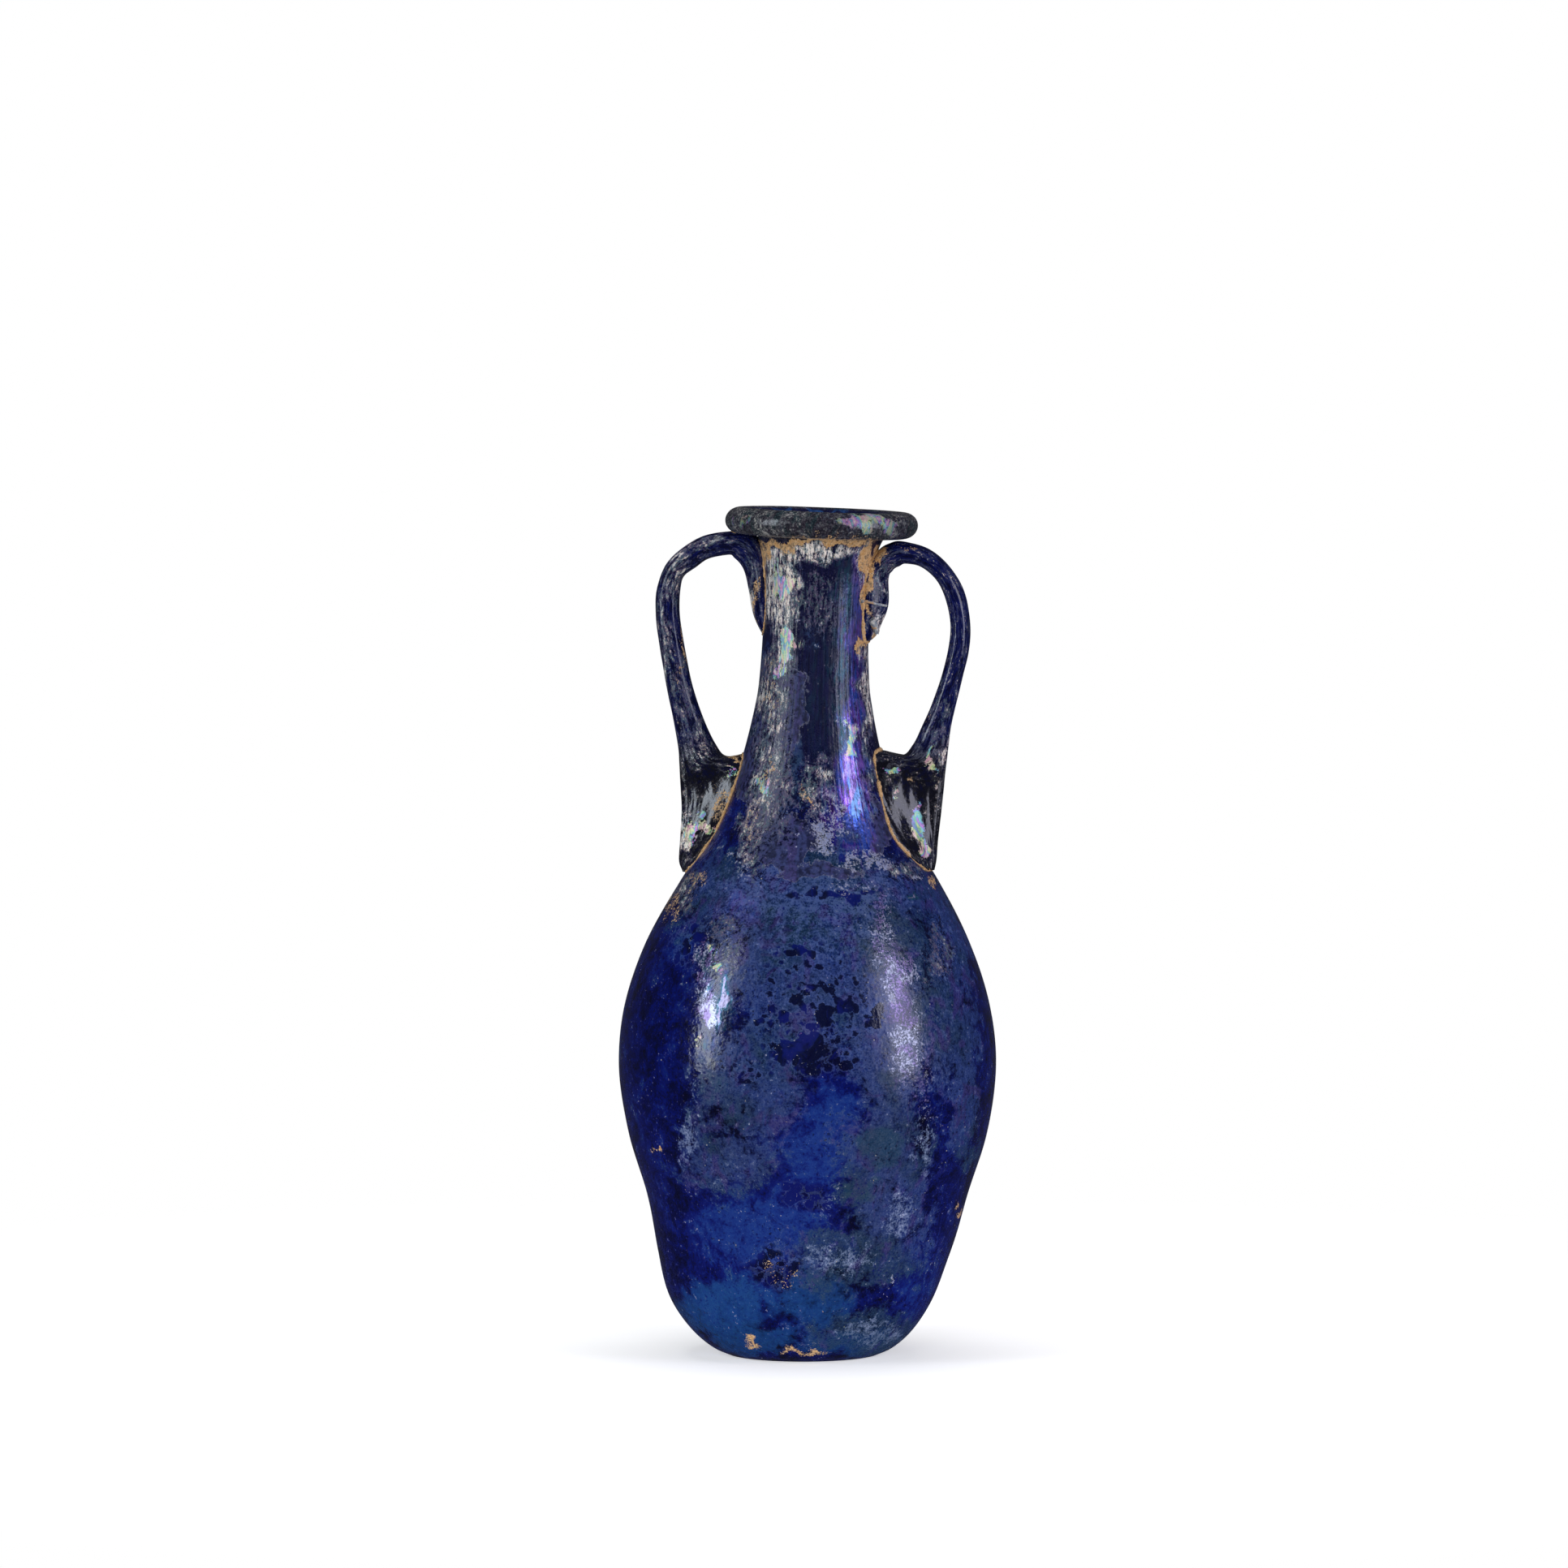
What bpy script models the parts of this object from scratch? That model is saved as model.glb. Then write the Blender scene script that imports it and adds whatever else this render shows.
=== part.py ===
"""A free-blown glass amphora: a hollow vessel with a thick rolled rim, and two handles drawn on hot.

Metres, +Z up. The origin is on the floor, under the middle of the belly. +X is towards the right-hand
handle and -Y is the front. The vessel is a stack of rings whose centres drift sideways, because the
neck leans and the foot sits a little off centre.
"""

import math

import bmesh
import bpy
import numpy as np

MM = 0.001

# Heights, from the floor up: to the widest part of the belly, on to the foot of the neck, along the
# neck, through the flare under the rim, and through the roll of glass that makes the rim
BELLY_HEIGHT = 56.0 * MM
SHOULDER_RISE = 75.0 * MM
NECK_LENGTH = 21.0 * MM
FLARE_HEIGHT = 7.3 * MM
ROLL_HEIGHT = 5.1 * MM

# Outer radii
FOOT_RADIUS = 14.8 * MM
BELLY_RADIUS = 36.7 * MM
NECK_RADIUS = 10.5 * MM
RIM_RADIUS = 18.7 * MM

# The roll's width, how far the rim dips towards +X, and how much of the way from the neck to the
# middle of the roll the flare has covered where it meets the roll
ROLL_WIDTH = 5.6 * MM
RIM_DIP = math.radians(2.1)
FLARE_SHARE = 0.35

# How far the rim stands off the belly's axis, towards +X
LEAN = 2.9 * MM

# The glass, the rounding inside above the floor, and the dent pushed up under the foot
NECK_WALL = 2.0 * MM
BODY_WALL = 1.9 * MM
FLOOR_THICKNESS = 3.2 * MM
INNER_KNUCKLE = 8.0 * MM
KNUCKLE_SQUARENESS = 2.6
KICK_RADIUS = 8.5 * MM
KICK_DEPTH = 0.9 * MM

# Handles: the rod, how far each stands out from the neck, how high its toe stands on the shoulder,
# the widths of its tail on the neck and of its pad on the shoulder, and how far the pair is turned
# about the vessel, the right one towards the front
ROD_DEPTH = 5.2 * MM
LEFT_REACH = 20.8 * MM
RIGHT_REACH = 19.6 * MM
TOE_RISE = 1.1 * MM
TAIL_WIDTH = 9.2 * MM
LEFT_PAD_WIDTH = 21.0 * MM
RIGHT_PAD_WIDTH = 23.5 * MM
HANDLE_TURN = math.radians(-7)
SEAM_GAP = 0.3 * MM

# The spread of the glass: the tail's edge that faces the loop and the pad's outer edge are narrower
# than the rod, the pad widens along its slices by this power, and its slices are this much squarer
TAIL_TAPER = 0.25
PAD_TAPER = 0.3
PAD_FAN = 1.4
PAD_SQUARENESS = 0.6

# Fineness of the facets
SIDES = 48
ROD_SIDES = 14
STEPS_PER_SPAN = 2
ROLL_STEPS = 12
CAVITY_STEPS = 18
DRIFT_STEPS = 8

# The outline, each point as a share of the rise and of the change in radius: from the foot out to
# the belly, and from the belly in to the neck
LOWER_OUTLINE = (
    (0.023, 0.13),
    (0.082, 0.305),
    (0.195, 0.497),
    (0.364, 0.632),
    (0.56, 0.752),
    (0.77, 0.918),
    (1.0, 1.0),
)
UPPER_OUTLINE = (
    (0.16, 0.045),
    (0.325, 0.2),
    (0.485, 0.445),
    (0.62, 0.69),
    (0.79, 0.87),
    (0.93, 0.965),
    (1.0, 0.993),
)

# The mouth narrows down to the bore of the neck: share of the way in, and height above the roll's
# underside as a share of the roll's height
FUNNEL = ((0.25, 0.25), (0.65, -0.45), (1.0, -1.9))

# The rounding inside above the floor, as shares of its height
KNUCKLE_LEVELS = (0.55, 0.22, 0.06)

# Turns about the roll's middle, with 0 at its outer edge: where the neck meets it, and where its own
# surface starts and ends
NECK_JOINT_TURN = math.radians(-140)
ROLL_START_TURN = math.radians(-115)
ROLL_END_TURN = math.radians(165)

# Sideways drift of the rings: share of the height, and share of the lean
DRIFT = (
    (0.0, -0.28),
    (0.07, -0.38),
    (0.17, -0.03),
    (0.47, 0.0),
    (0.56, 0.14),
    (0.76, 0.38),
    (0.93, 0.72),
    (1.0, 1.0),
)

# The dent under the foot, as shares of its radius and depth
KICK_OUTLINE = ((0.5, 0.75), (1.0, 0.0))

# A handle's stations, from the tip of its tail on the neck, over the top and down to its toe on the
# shoulder. Each has a point on the handle's outer edge, a point on the edge that faces the loop, and
# how the glass is spread: -1 on the neck, 0 a rod, 1 on the shoulder. A point is a share of the reach
# out from the neck's side, and a share of the way down from the rim to the toe.
LEFT_STATIONS = (
    ((-0.14, 0.315), (-0.05, 0.315), 0.0),
    ((-0.11, 0.26), (0.055, 0.255), -0.5),
    ((-0.1, 0.205), (0.1, 0.21), -0.9),
    ((-0.085, 0.13), (0.13, 0.155), -1.0),
    ((-0.06, 0.06), (0.17, 0.103), -0.8),
    ((0.055, 0.0), (0.26, 0.067), -0.4),
    ((0.3, -0.013), (0.35, 0.059), 0.0),
    ((0.555, 0.002), (0.51, 0.07), 0.0),
    ((0.77, 0.043), (0.625, 0.095), 0.0),
    ((0.91, 0.091), (0.733, 0.12), 0.0),
    ((0.99, 0.16), (0.767, 0.154), 0.0),
    ((1.0, 0.238), (0.775, 0.233), 0.0),
    ((0.962, 0.334), (0.73, 0.329), 0.0),
    ((0.893, 0.459), (0.655, 0.445), 0.0),
    ((0.828, 0.56), (0.555, 0.54), 0.0),
    ((0.79, 0.63), (0.44, 0.618), 0.1),
    ((0.778, 0.68), (0.31, 0.655), 0.3),
    ((0.77, 0.725), (0.13, 0.643), 0.35),
    ((0.763, 0.77), (-0.08, 0.65), 0.5),
    ((0.758, 0.83), (0.0, 0.78), 0.85),
    ((0.771, 0.905), (0.25, 0.89), 1.0),
    ((0.782, 0.96), (0.5, 0.955), 0.85),
    ((0.748, 0.998), (0.64, 0.993), 0.45),
)
RIGHT_STATIONS = (
    ((-0.16, 0.335), (-0.06, 0.325), -0.1),
    ((-0.12, 0.31), (0.05, 0.303), -0.4),
    ((-0.11, 0.265), (0.115, 0.265), -0.8),
    ((-0.1, 0.2), (0.19, 0.2), -1.0),
    ((-0.08, 0.123), (0.19, 0.135), -1.0),
    ((0.04, 0.06), (0.234, 0.103), -0.7),
    ((0.185, 0.023), (0.298, 0.09), -0.3),
    ((0.371, 0.017), (0.379, 0.083), 0.0),
    ((0.573, 0.035), (0.484, 0.089), 0.0),
    ((0.734, 0.07), (0.589, 0.108), 0.0),
    ((0.871, 0.123), (0.685, 0.139), 0.0),
    ((0.96, 0.183), (0.758, 0.19), 0.0),
    ((1.0, 0.274), (0.806, 0.267), 0.0),
    ((0.984, 0.349), (0.782, 0.341), 0.0),
    ((0.919, 0.43), (0.71, 0.425), 0.0),
    ((0.855, 0.512), (0.625, 0.498), 0.0),
    ((0.813, 0.57), (0.54, 0.558), 0.0),
    ((0.788, 0.625), (0.43, 0.625), 0.15),
    ((0.77, 0.672), (0.29, 0.656), 0.35),
    ((0.752, 0.718), (0.1, 0.641), 0.35),
    ((0.737, 0.762), (-0.1, 0.645), 0.5),
    ((0.712, 0.83), (-0.05, 0.77), 0.85),
    ((0.682, 0.905), (0.2, 0.885), 1.0),
    ((0.668, 0.96), (0.42, 0.95), 0.85),
    ((0.645, 1.0), (0.55, 0.995), 0.45),
)

LEFT, RIGHT = -1, 1


def smooth_curve(points, steps):
    """Rows on a smooth curve through the given rows, with so many steps from each to the next."""
    rows = np.array(points, float)
    spans = np.sqrt(np.linalg.norm(np.diff(rows, axis=0), axis=1))
    along = np.concatenate(([0.0], np.cumsum(spans)))
    slopes = np.gradient(rows, along, axis=0)
    curve = []
    for i, span in enumerate(spans):
        for t in np.arange(steps) / steps:
            curve.append(
                (2 * t**3 - 3 * t**2 + 1) * rows[i]
                + (t**3 - 2 * t**2 + t) * span * slopes[i]
                + (3 * t**2 - 2 * t**3) * rows[i + 1]
                + (t**3 - t**2) * span * slopes[i + 1]
            )
    curve.append(rows[-1])
    return np.array(curve)


def smooth_step(value, low, high):
    """0 up to low, 1 from high on, and an even ramp between them."""
    t = min(1.0, max(0.0, (value - low) / (high - low)))
    return t * t * (3 - 2 * t)


NECK_FOOT = BELLY_HEIGHT + SHOULDER_RISE
NECK_HEAD = NECK_FOOT + NECK_LENGTH
ROLL_UNDERSIDE = NECK_HEAD + FLARE_HEIGHT
ROLL_LEVEL = ROLL_UNDERSIDE + ROLL_HEIGHT / 2
ROLL_CENTRE_RADIUS = RIM_RADIUS - ROLL_WIDTH / 2
RIM_TOP = ROLL_UNDERSIDE + ROLL_HEIGHT
DRIFT_CURVE = smooth_curve([(share * RIM_TOP, lean * LEAN) for share, lean in DRIFT], DRIFT_STEPS)


def drift(height):
    """How far a ring's centre stands off the Z axis, along X."""
    return float(np.interp(height, DRIFT_CURVE[:, 0], DRIFT_CURVE[:, 1]))


def on_ring(radius, height, angle):
    """A point of the vessel: on the ring of that radius, drifted sideways and dipped with the rim."""
    across = radius * math.cos(angle)
    dip = math.tan(RIM_DIP) * smooth_step(height, NECK_HEAD, ROLL_UNDERSIDE)
    return (drift(height) + across, radius * math.sin(angle), height - dip * across)


def roll_point(turn):
    """Radius and height on the rim's roll, with turn 0 at its outer edge and a quarter turn at its top."""
    radius = ROLL_CENTRE_RADIUS + ROLL_WIDTH / 2 * math.cos(turn)
    return (radius, ROLL_LEVEL + ROLL_HEIGHT / 2 * math.sin(turn))


def side_profile():
    """The outer side from the foot up to where the neck meets the rim's roll, as (radius, height) rows."""
    points = [(FOOT_RADIUS, 0.0)]
    for rise, swell in LOWER_OUTLINE:
        points.append((FOOT_RADIUS + swell * (BELLY_RADIUS - FOOT_RADIUS), rise * BELLY_HEIGHT))
    for rise, waist in UPPER_OUTLINE:
        radius = BELLY_RADIUS - waist * (BELLY_RADIUS - NECK_RADIUS)
        points.append((radius, BELLY_HEIGHT + rise * SHOULDER_RISE))
    points.append((NECK_RADIUS, NECK_HEAD))
    points.append((NECK_RADIUS + FLARE_SHARE * (ROLL_CENTRE_RADIUS - NECK_RADIUS), ROLL_UNDERSIDE))
    points.append(roll_point(NECK_JOINT_TURN))
    return smooth_curve(points, STEPS_PER_SPAN)


def roll_profile():
    """The rim's roll, from its underside over the outer edge and the top to the mouth."""
    turns = np.linspace(ROLL_START_TURN, ROLL_END_TURN, ROLL_STEPS)
    return np.array([roll_point(turn) for turn in turns])


def cavity_profile(side):
    """The inner side, from the mouth down the neck and the body to the middle of the floor."""
    mouth = ROLL_CENTRE_RADIUS - ROLL_WIDTH / 2
    bore = NECK_RADIUS - NECK_WALL
    rows = [(mouth - way_in * (mouth - bore), ROLL_UNDERSIDE + up * ROLL_HEIGHT) for way_in, up in FUNNEL]
    slope = np.gradient(side[:, 0], side[:, 1])
    knuckle = FLOOR_THICKNESS + INNER_KNUCKLE
    heights = list(np.linspace(NECK_FOOT, knuckle, CAVITY_STEPS))
    heights += [FLOOR_THICKNESS + level * INNER_KNUCKLE for level in KNUCKLE_LEVELS]
    for height in heights:
        wall = BODY_WALL + (NECK_WALL - BODY_WALL) * smooth_step(height, BELLY_HEIGHT, NECK_FOOT)
        level = max(height, knuckle)
        outer = float(np.interp(level, side[:, 1], side[:, 0]))
        steepness = float(np.interp(level, side[:, 1], slope))
        down = (level - height) / INNER_KNUCKLE
        rounding = (1 - down**KNUCKLE_SQUARENESS) ** (1 / KNUCKLE_SQUARENESS)
        rows.append(((outer - wall * math.hypot(1, steepness)) * rounding, height))
    return np.array(rows)


def finished(name, mesh):
    """Turns the faces outwards and makes the object, shaded smooth except at its sharp edges."""
    bmesh.ops.recalc_face_normals(mesh, faces=mesh.faces)
    data = bpy.data.meshes.new(name)
    mesh.to_mesh(data)
    mesh.free()
    data.shade_smooth()
    data.set_sharp_from_angle(angle=math.radians(40))
    made = bpy.data.objects.new(name, data)
    bpy.context.scene.collection.objects.link(made)
    return made


def ring_mesh(name, first_pole, profile, last_pole):
    """A closed mesh of rings, with a pole at each end, given by height on the rings' own axis."""
    mesh = bmesh.new()
    angles = [2 * math.pi * k / SIDES for k in range(SIDES)]
    rings = [[mesh.verts.new(on_ring(r, z, a)) for a in angles] for r, z in profile]
    for low, high in zip(rings, rings[1:]):
        for k in range(SIDES):
            mesh.faces.new((low[k], low[k - 1], high[k - 1], high[k]))
    for ring, height in ((rings[0], first_pole), (rings[-1], last_pole)):
        pole = mesh.verts.new((drift(height), 0.0, height))
        for k in range(SIDES):
            mesh.faces.new((ring[k - 1], ring[k], pole))
    return finished(name, mesh)


def blown_vessel():
    """The blown bulb, its neck and its rim: one hollow solid, open at the mouth."""
    side = side_profile()
    kick = [(out * KICK_RADIUS, up * KICK_DEPTH) for out, up in KICK_OUTLINE]
    profile = np.vstack((kick, side, roll_profile(), cavity_profile(side)))
    return ring_mesh("vessel", KICK_DEPTH, profile, FLOOR_THICKNESS)


def vessel_envelope():
    """The vessel as one full block, larger by the seam gap: what the handles are trimmed to."""
    over_the_top = [row for row in roll_profile() if row[0] > ROLL_CENTRE_RADIUS]
    outline = np.vstack((side_profile(), over_the_top))
    along = np.gradient(outline, axis=0)
    along /= np.linalg.norm(along, axis=1)[:, None]
    outwards = np.column_stack((along[:, 1], -along[:, 0]))
    block = outline + SEAM_GAP * outwards
    cutter = ring_mesh("vessel_envelope", block[0, 1], block, block[-1, 1])
    cutter.hide_render = True
    cutter.display_type = "WIRE"
    return cutter


def handle_depth(share, turn, spread, pad_width):
    """A slice's extent along Y at that share of the way from the handle's outer edge to the loop's."""
    on_neck, on_shoulder = max(0.0, -spread), max(0.0, spread)
    outer = ROD_DEPTH + on_neck * (TAIL_WIDTH - ROD_DEPTH) - PAD_TAPER * on_shoulder * ROD_DEPTH
    loop = ROD_DEPTH + on_shoulder * (pad_width - ROD_DEPTH) - TAIL_TAPER * on_neck * ROD_DEPTH
    height = math.sin(turn)
    roundness = abs(height) ** (1 - PAD_SQUARENESS * on_shoulder)
    return math.copysign((outer + (loop - outer) * share**PAD_FAN) / 2 * roundness, height)


def applied_handle(name, stations, side, reach, pad_width, envelope):
    """One handle: slices from its tail to its toe, trimmed to the vessel."""
    neck_side = drift((NECK_FOOT + NECK_HEAD) / 2) + side * NECK_RADIUS
    toe_x = neck_side + side * stations[-1][0][0] * reach
    shoulder = side_profile()
    shoulder = shoulder[shoulder[:, 1] > BELLY_HEIGHT]
    centred_toe = side * (toe_x - drift(BELLY_HEIGHT + SHOULDER_RISE / 2))
    toe_level = float(np.interp(-centred_toe, -shoulder[:, 0], shoulder[:, 1])) + TOE_RISE
    drop = ROLL_UNDERSIDE - toe_level
    rows = []
    for outer, loop, spread in stations:
        row = []
        for out, down in (outer, loop):
            row += [neck_side + side * out * reach, ROLL_UNDERSIDE - down * drop]
        rows.append((*row, spread * drop))
    mesh = bmesh.new()
    slices = []
    for outer_x, outer_z, loop_x, loop_z, scaled_spread in smooth_curve(rows, STEPS_PER_SPAN):
        ring = []
        for k in range(ROD_SIDES):
            turn = 2 * math.pi * k / ROD_SIDES
            share = (1 - math.cos(turn)) / 2
            x = outer_x + (loop_x - outer_x) * share
            y = handle_depth(share, turn, scaled_spread / drop, pad_width)
            along = x * math.cos(HANDLE_TURN) - y * math.sin(HANDLE_TURN)
            across = x * math.sin(HANDLE_TURN) + y * math.cos(HANDLE_TURN)
            ring.append(mesh.verts.new((along, across, outer_z + (loop_z - outer_z) * share)))
        slices.append(ring)
    for ring, following in zip(slices, slices[1:]):
        for k in range(ROD_SIDES):
            mesh.faces.new((ring[k], ring[k - 1], following[k - 1], following[k]))
    mesh.faces.new(slices[0])
    mesh.faces.new(slices[-1])
    handle = finished(name, mesh)
    trim = handle.modifiers.new("trim to the vessel", "BOOLEAN")
    trim.operation = "DIFFERENCE"
    trim.solver = "EXACT"
    trim.object = envelope
    return handle


def cobalt_glass(name, colour, roughness):
    """Deep blue glass under a thin weathered skin."""
    material = bpy.data.materials.new(name)
    material.use_nodes = True
    shader = material.node_tree.nodes["Principled BSDF"]
    shader.inputs["Base Color"].default_value = (*colour, 1.0)
    shader.inputs["Roughness"].default_value = roughness
    shader.inputs["Metallic"].default_value = 0.0
    return material


def main():
    for old in list(bpy.data.objects):
        bpy.data.objects.remove(old)
    vessel = blown_vessel()
    envelope = vessel_envelope()
    left = applied_handle("left_handle", LEFT_STATIONS, LEFT, LEFT_REACH, LEFT_PAD_WIDTH, envelope)
    right = applied_handle("right_handle", RIGHT_STATIONS, RIGHT, RIGHT_REACH, RIGHT_PAD_WIDTH, envelope)
    vessel.data.materials.append(cobalt_glass("vessel glass", (0.012, 0.02, 0.19), 0.28))
    for handle in (left, right):
        handle.data.materials.append(cobalt_glass(handle.name + " glass", (0.01, 0.014, 0.09), 0.25))


main()
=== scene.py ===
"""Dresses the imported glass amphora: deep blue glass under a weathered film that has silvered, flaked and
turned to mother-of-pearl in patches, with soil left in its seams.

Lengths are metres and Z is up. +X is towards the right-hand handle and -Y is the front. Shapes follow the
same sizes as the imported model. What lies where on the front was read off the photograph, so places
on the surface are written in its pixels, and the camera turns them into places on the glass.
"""

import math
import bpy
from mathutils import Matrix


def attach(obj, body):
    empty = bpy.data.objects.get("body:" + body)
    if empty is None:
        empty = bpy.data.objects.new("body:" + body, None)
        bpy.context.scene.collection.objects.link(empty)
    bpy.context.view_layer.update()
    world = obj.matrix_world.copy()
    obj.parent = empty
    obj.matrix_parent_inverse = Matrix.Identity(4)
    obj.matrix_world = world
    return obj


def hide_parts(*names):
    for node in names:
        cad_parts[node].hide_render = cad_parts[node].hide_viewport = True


bl_info = {
    "name": "Weathered glass amphora",
    "version": (1, 0, 0),
    "blender": (4, 5, 0),
    "location": "3D View > Sidebar > Amphora",
    "description": "Makes a free-blown glass amphora with its weathered film and the soil in its seams",
    "category": "Object",
}

import bpy
import numpy as np
from bpy.props import FloatProperty, FloatVectorProperty, IntProperty, PointerProperty
from mathutils import Vector, kdtree, noise
from mathutils.bvhtree import BVHTree

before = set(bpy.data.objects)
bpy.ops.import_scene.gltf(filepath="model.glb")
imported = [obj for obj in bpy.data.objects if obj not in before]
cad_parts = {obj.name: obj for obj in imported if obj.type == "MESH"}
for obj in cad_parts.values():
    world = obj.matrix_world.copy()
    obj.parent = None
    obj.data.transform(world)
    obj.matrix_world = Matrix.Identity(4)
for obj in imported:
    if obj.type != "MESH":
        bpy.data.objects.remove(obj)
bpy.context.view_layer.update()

MM = 0.001
BODY = "root"
LEFT, RIGHT = -1, 1

# The photograph's side in pixels, and the pixel where the amphora's axis meets the floor
PHOTO_SIDE = 1932
FLOOR_PIXEL = (995, 1669)

# The size of a pixel: as the camera sees it at the amphora's axis, and as its aim was measured
PIXEL = 0.1577 * MM
AIM_PIXEL = 0.158 * MM

# The outline, each point as a share of the rise and of the change in radius: from the foot out to the
# belly, and from the belly in to the neck
LOWER_OUTLINE = (
    (0.023, 0.13),
    (0.082, 0.305),
    (0.195, 0.497),
    (0.364, 0.632),
    (0.56, 0.752),
    (0.77, 0.918),
    (1.0, 1.0),
)
UPPER_OUTLINE = (
    (0.16, 0.045),
    (0.325, 0.2),
    (0.485, 0.445),
    (0.62, 0.69),
    (0.79, 0.87),
    (0.93, 0.965),
    (1.0, 0.993),
)

# How the mouth narrows: shares of the way in to the bore, and of the roll's height above its underside
FUNNEL = ((0.25, 0.25), (0.65, -0.45), (1.0, -1.9))

# The dent under the foot: shares of its radius and of its depth
KICK_OUTLINE = ((0.25, 0.95), (0.5, 0.75), (0.8, 0.25), (1.0, 0.0))

# The rounding inside above the floor: how square it is, how its rings crowd downwards, and the share of its
# height where they end
KNUCKLE_SQUARENESS = 2.6
KNUCKLE_CROWDING = 0.6
KNUCKLE_END = 0.995

# How far the neck flares towards the middle of the roll, and the turns round the roll where the neck joins
# it and where its own rings start and end
FLARE_SHARE = 0.35
NECK_JOINT_TURN = math.radians(-140)
ROLL_START_TURN = math.radians(-115)
ROLL_END_TURN = math.radians(165)

# Sideways drift of the rings: share of the height, and share of the lean
DRIFT = (
    (0.0, -0.28),
    (0.07, -0.38),
    (0.17, -0.03),
    (0.47, 0.0),
    (0.56, 0.14),
    (0.76, 0.38),
    (0.93, 0.72),
    (1.0, 1.0),
)

# A handle's slices: how much narrower than the rod its tail's inner edge and its pad's outer edge are, the
# power by which the pad widens, and how much squarer the pad's slices are
TAIL_TAPER = 0.25
PAD_TAPER = 0.3
PAD_FAN = 1.4
PAD_SQUARENESS = 0.6

# A handle's stations from the tip of its tail to its toe: a point on its outer edge and a point on the edge
# that faces the loop, as shares of the reach and of the way down, and the spread: -1 on the neck, 0 a rod
# and 1 on the shoulder
LEFT_STATIONS = (
    ((-0.14, 0.315), (-0.05, 0.315), 0.0),
    ((-0.11, 0.26), (0.055, 0.255), -0.5),
    ((-0.1, 0.205), (0.1, 0.21), -0.9),
    ((-0.085, 0.13), (0.13, 0.155), -1.0),
    ((-0.06, 0.06), (0.17, 0.103), -0.8),
    ((0.055, 0.0), (0.26, 0.067), -0.4),
    ((0.3, -0.013), (0.35, 0.059), 0.0),
    ((0.555, 0.002), (0.51, 0.07), 0.0),
    ((0.77, 0.043), (0.625, 0.095), 0.0),
    ((0.91, 0.091), (0.733, 0.12), 0.0),
    ((0.99, 0.16), (0.767, 0.154), 0.0),
    ((1.0, 0.238), (0.775, 0.233), 0.0),
    ((0.962, 0.334), (0.73, 0.329), 0.0),
    ((0.893, 0.459), (0.655, 0.445), 0.0),
    ((0.828, 0.56), (0.555, 0.54), 0.0),
    ((0.79, 0.63), (0.44, 0.618), 0.1),
    ((0.778, 0.68), (0.31, 0.655), 0.3),
    ((0.77, 0.725), (0.13, 0.643), 0.35),
    ((0.763, 0.77), (-0.08, 0.65), 0.5),
    ((0.758, 0.83), (0.0, 0.78), 0.85),
    ((0.771, 0.905), (0.25, 0.89), 1.0),
    ((0.782, 0.96), (0.5, 0.955), 0.85),
    ((0.748, 0.998), (0.64, 0.993), 0.45),
)
RIGHT_STATIONS = (
    ((-0.16, 0.335), (-0.06, 0.325), -0.1),
    ((-0.12, 0.31), (0.05, 0.303), -0.4),
    ((-0.11, 0.265), (0.115, 0.265), -0.8),
    ((-0.1, 0.2), (0.19, 0.2), -1.0),
    ((-0.08, 0.123), (0.19, 0.135), -1.0),
    ((0.04, 0.06), (0.234, 0.103), -0.7),
    ((0.185, 0.023), (0.298, 0.09), -0.3),
    ((0.371, 0.017), (0.379, 0.083), 0.0),
    ((0.573, 0.035), (0.484, 0.089), 0.0),
    ((0.734, 0.07), (0.589, 0.108), 0.0),
    ((0.871, 0.123), (0.685, 0.139), 0.0),
    ((0.96, 0.183), (0.758, 0.19), 0.0),
    ((1.0, 0.274), (0.806, 0.267), 0.0),
    ((0.984, 0.349), (0.782, 0.341), 0.0),
    ((0.919, 0.43), (0.71, 0.425), 0.0),
    ((0.855, 0.512), (0.625, 0.498), 0.0),
    ((0.813, 0.57), (0.54, 0.558), 0.0),
    ((0.788, 0.625), (0.43, 0.625), 0.15),
    ((0.77, 0.672), (0.29, 0.656), 0.35),
    ((0.752, 0.718), (0.1, 0.641), 0.35),
    ((0.737, 0.762), (-0.1, 0.645), 0.5),
    ((0.712, 0.83), (-0.05, 0.77), 0.85),
    ((0.682, 0.905), (0.2, 0.885), 1.0),
    ((0.668, 0.96), (0.42, 0.95), 0.85),
    ((0.645, 1.0), (0.55, 0.995), 0.45),
)

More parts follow.
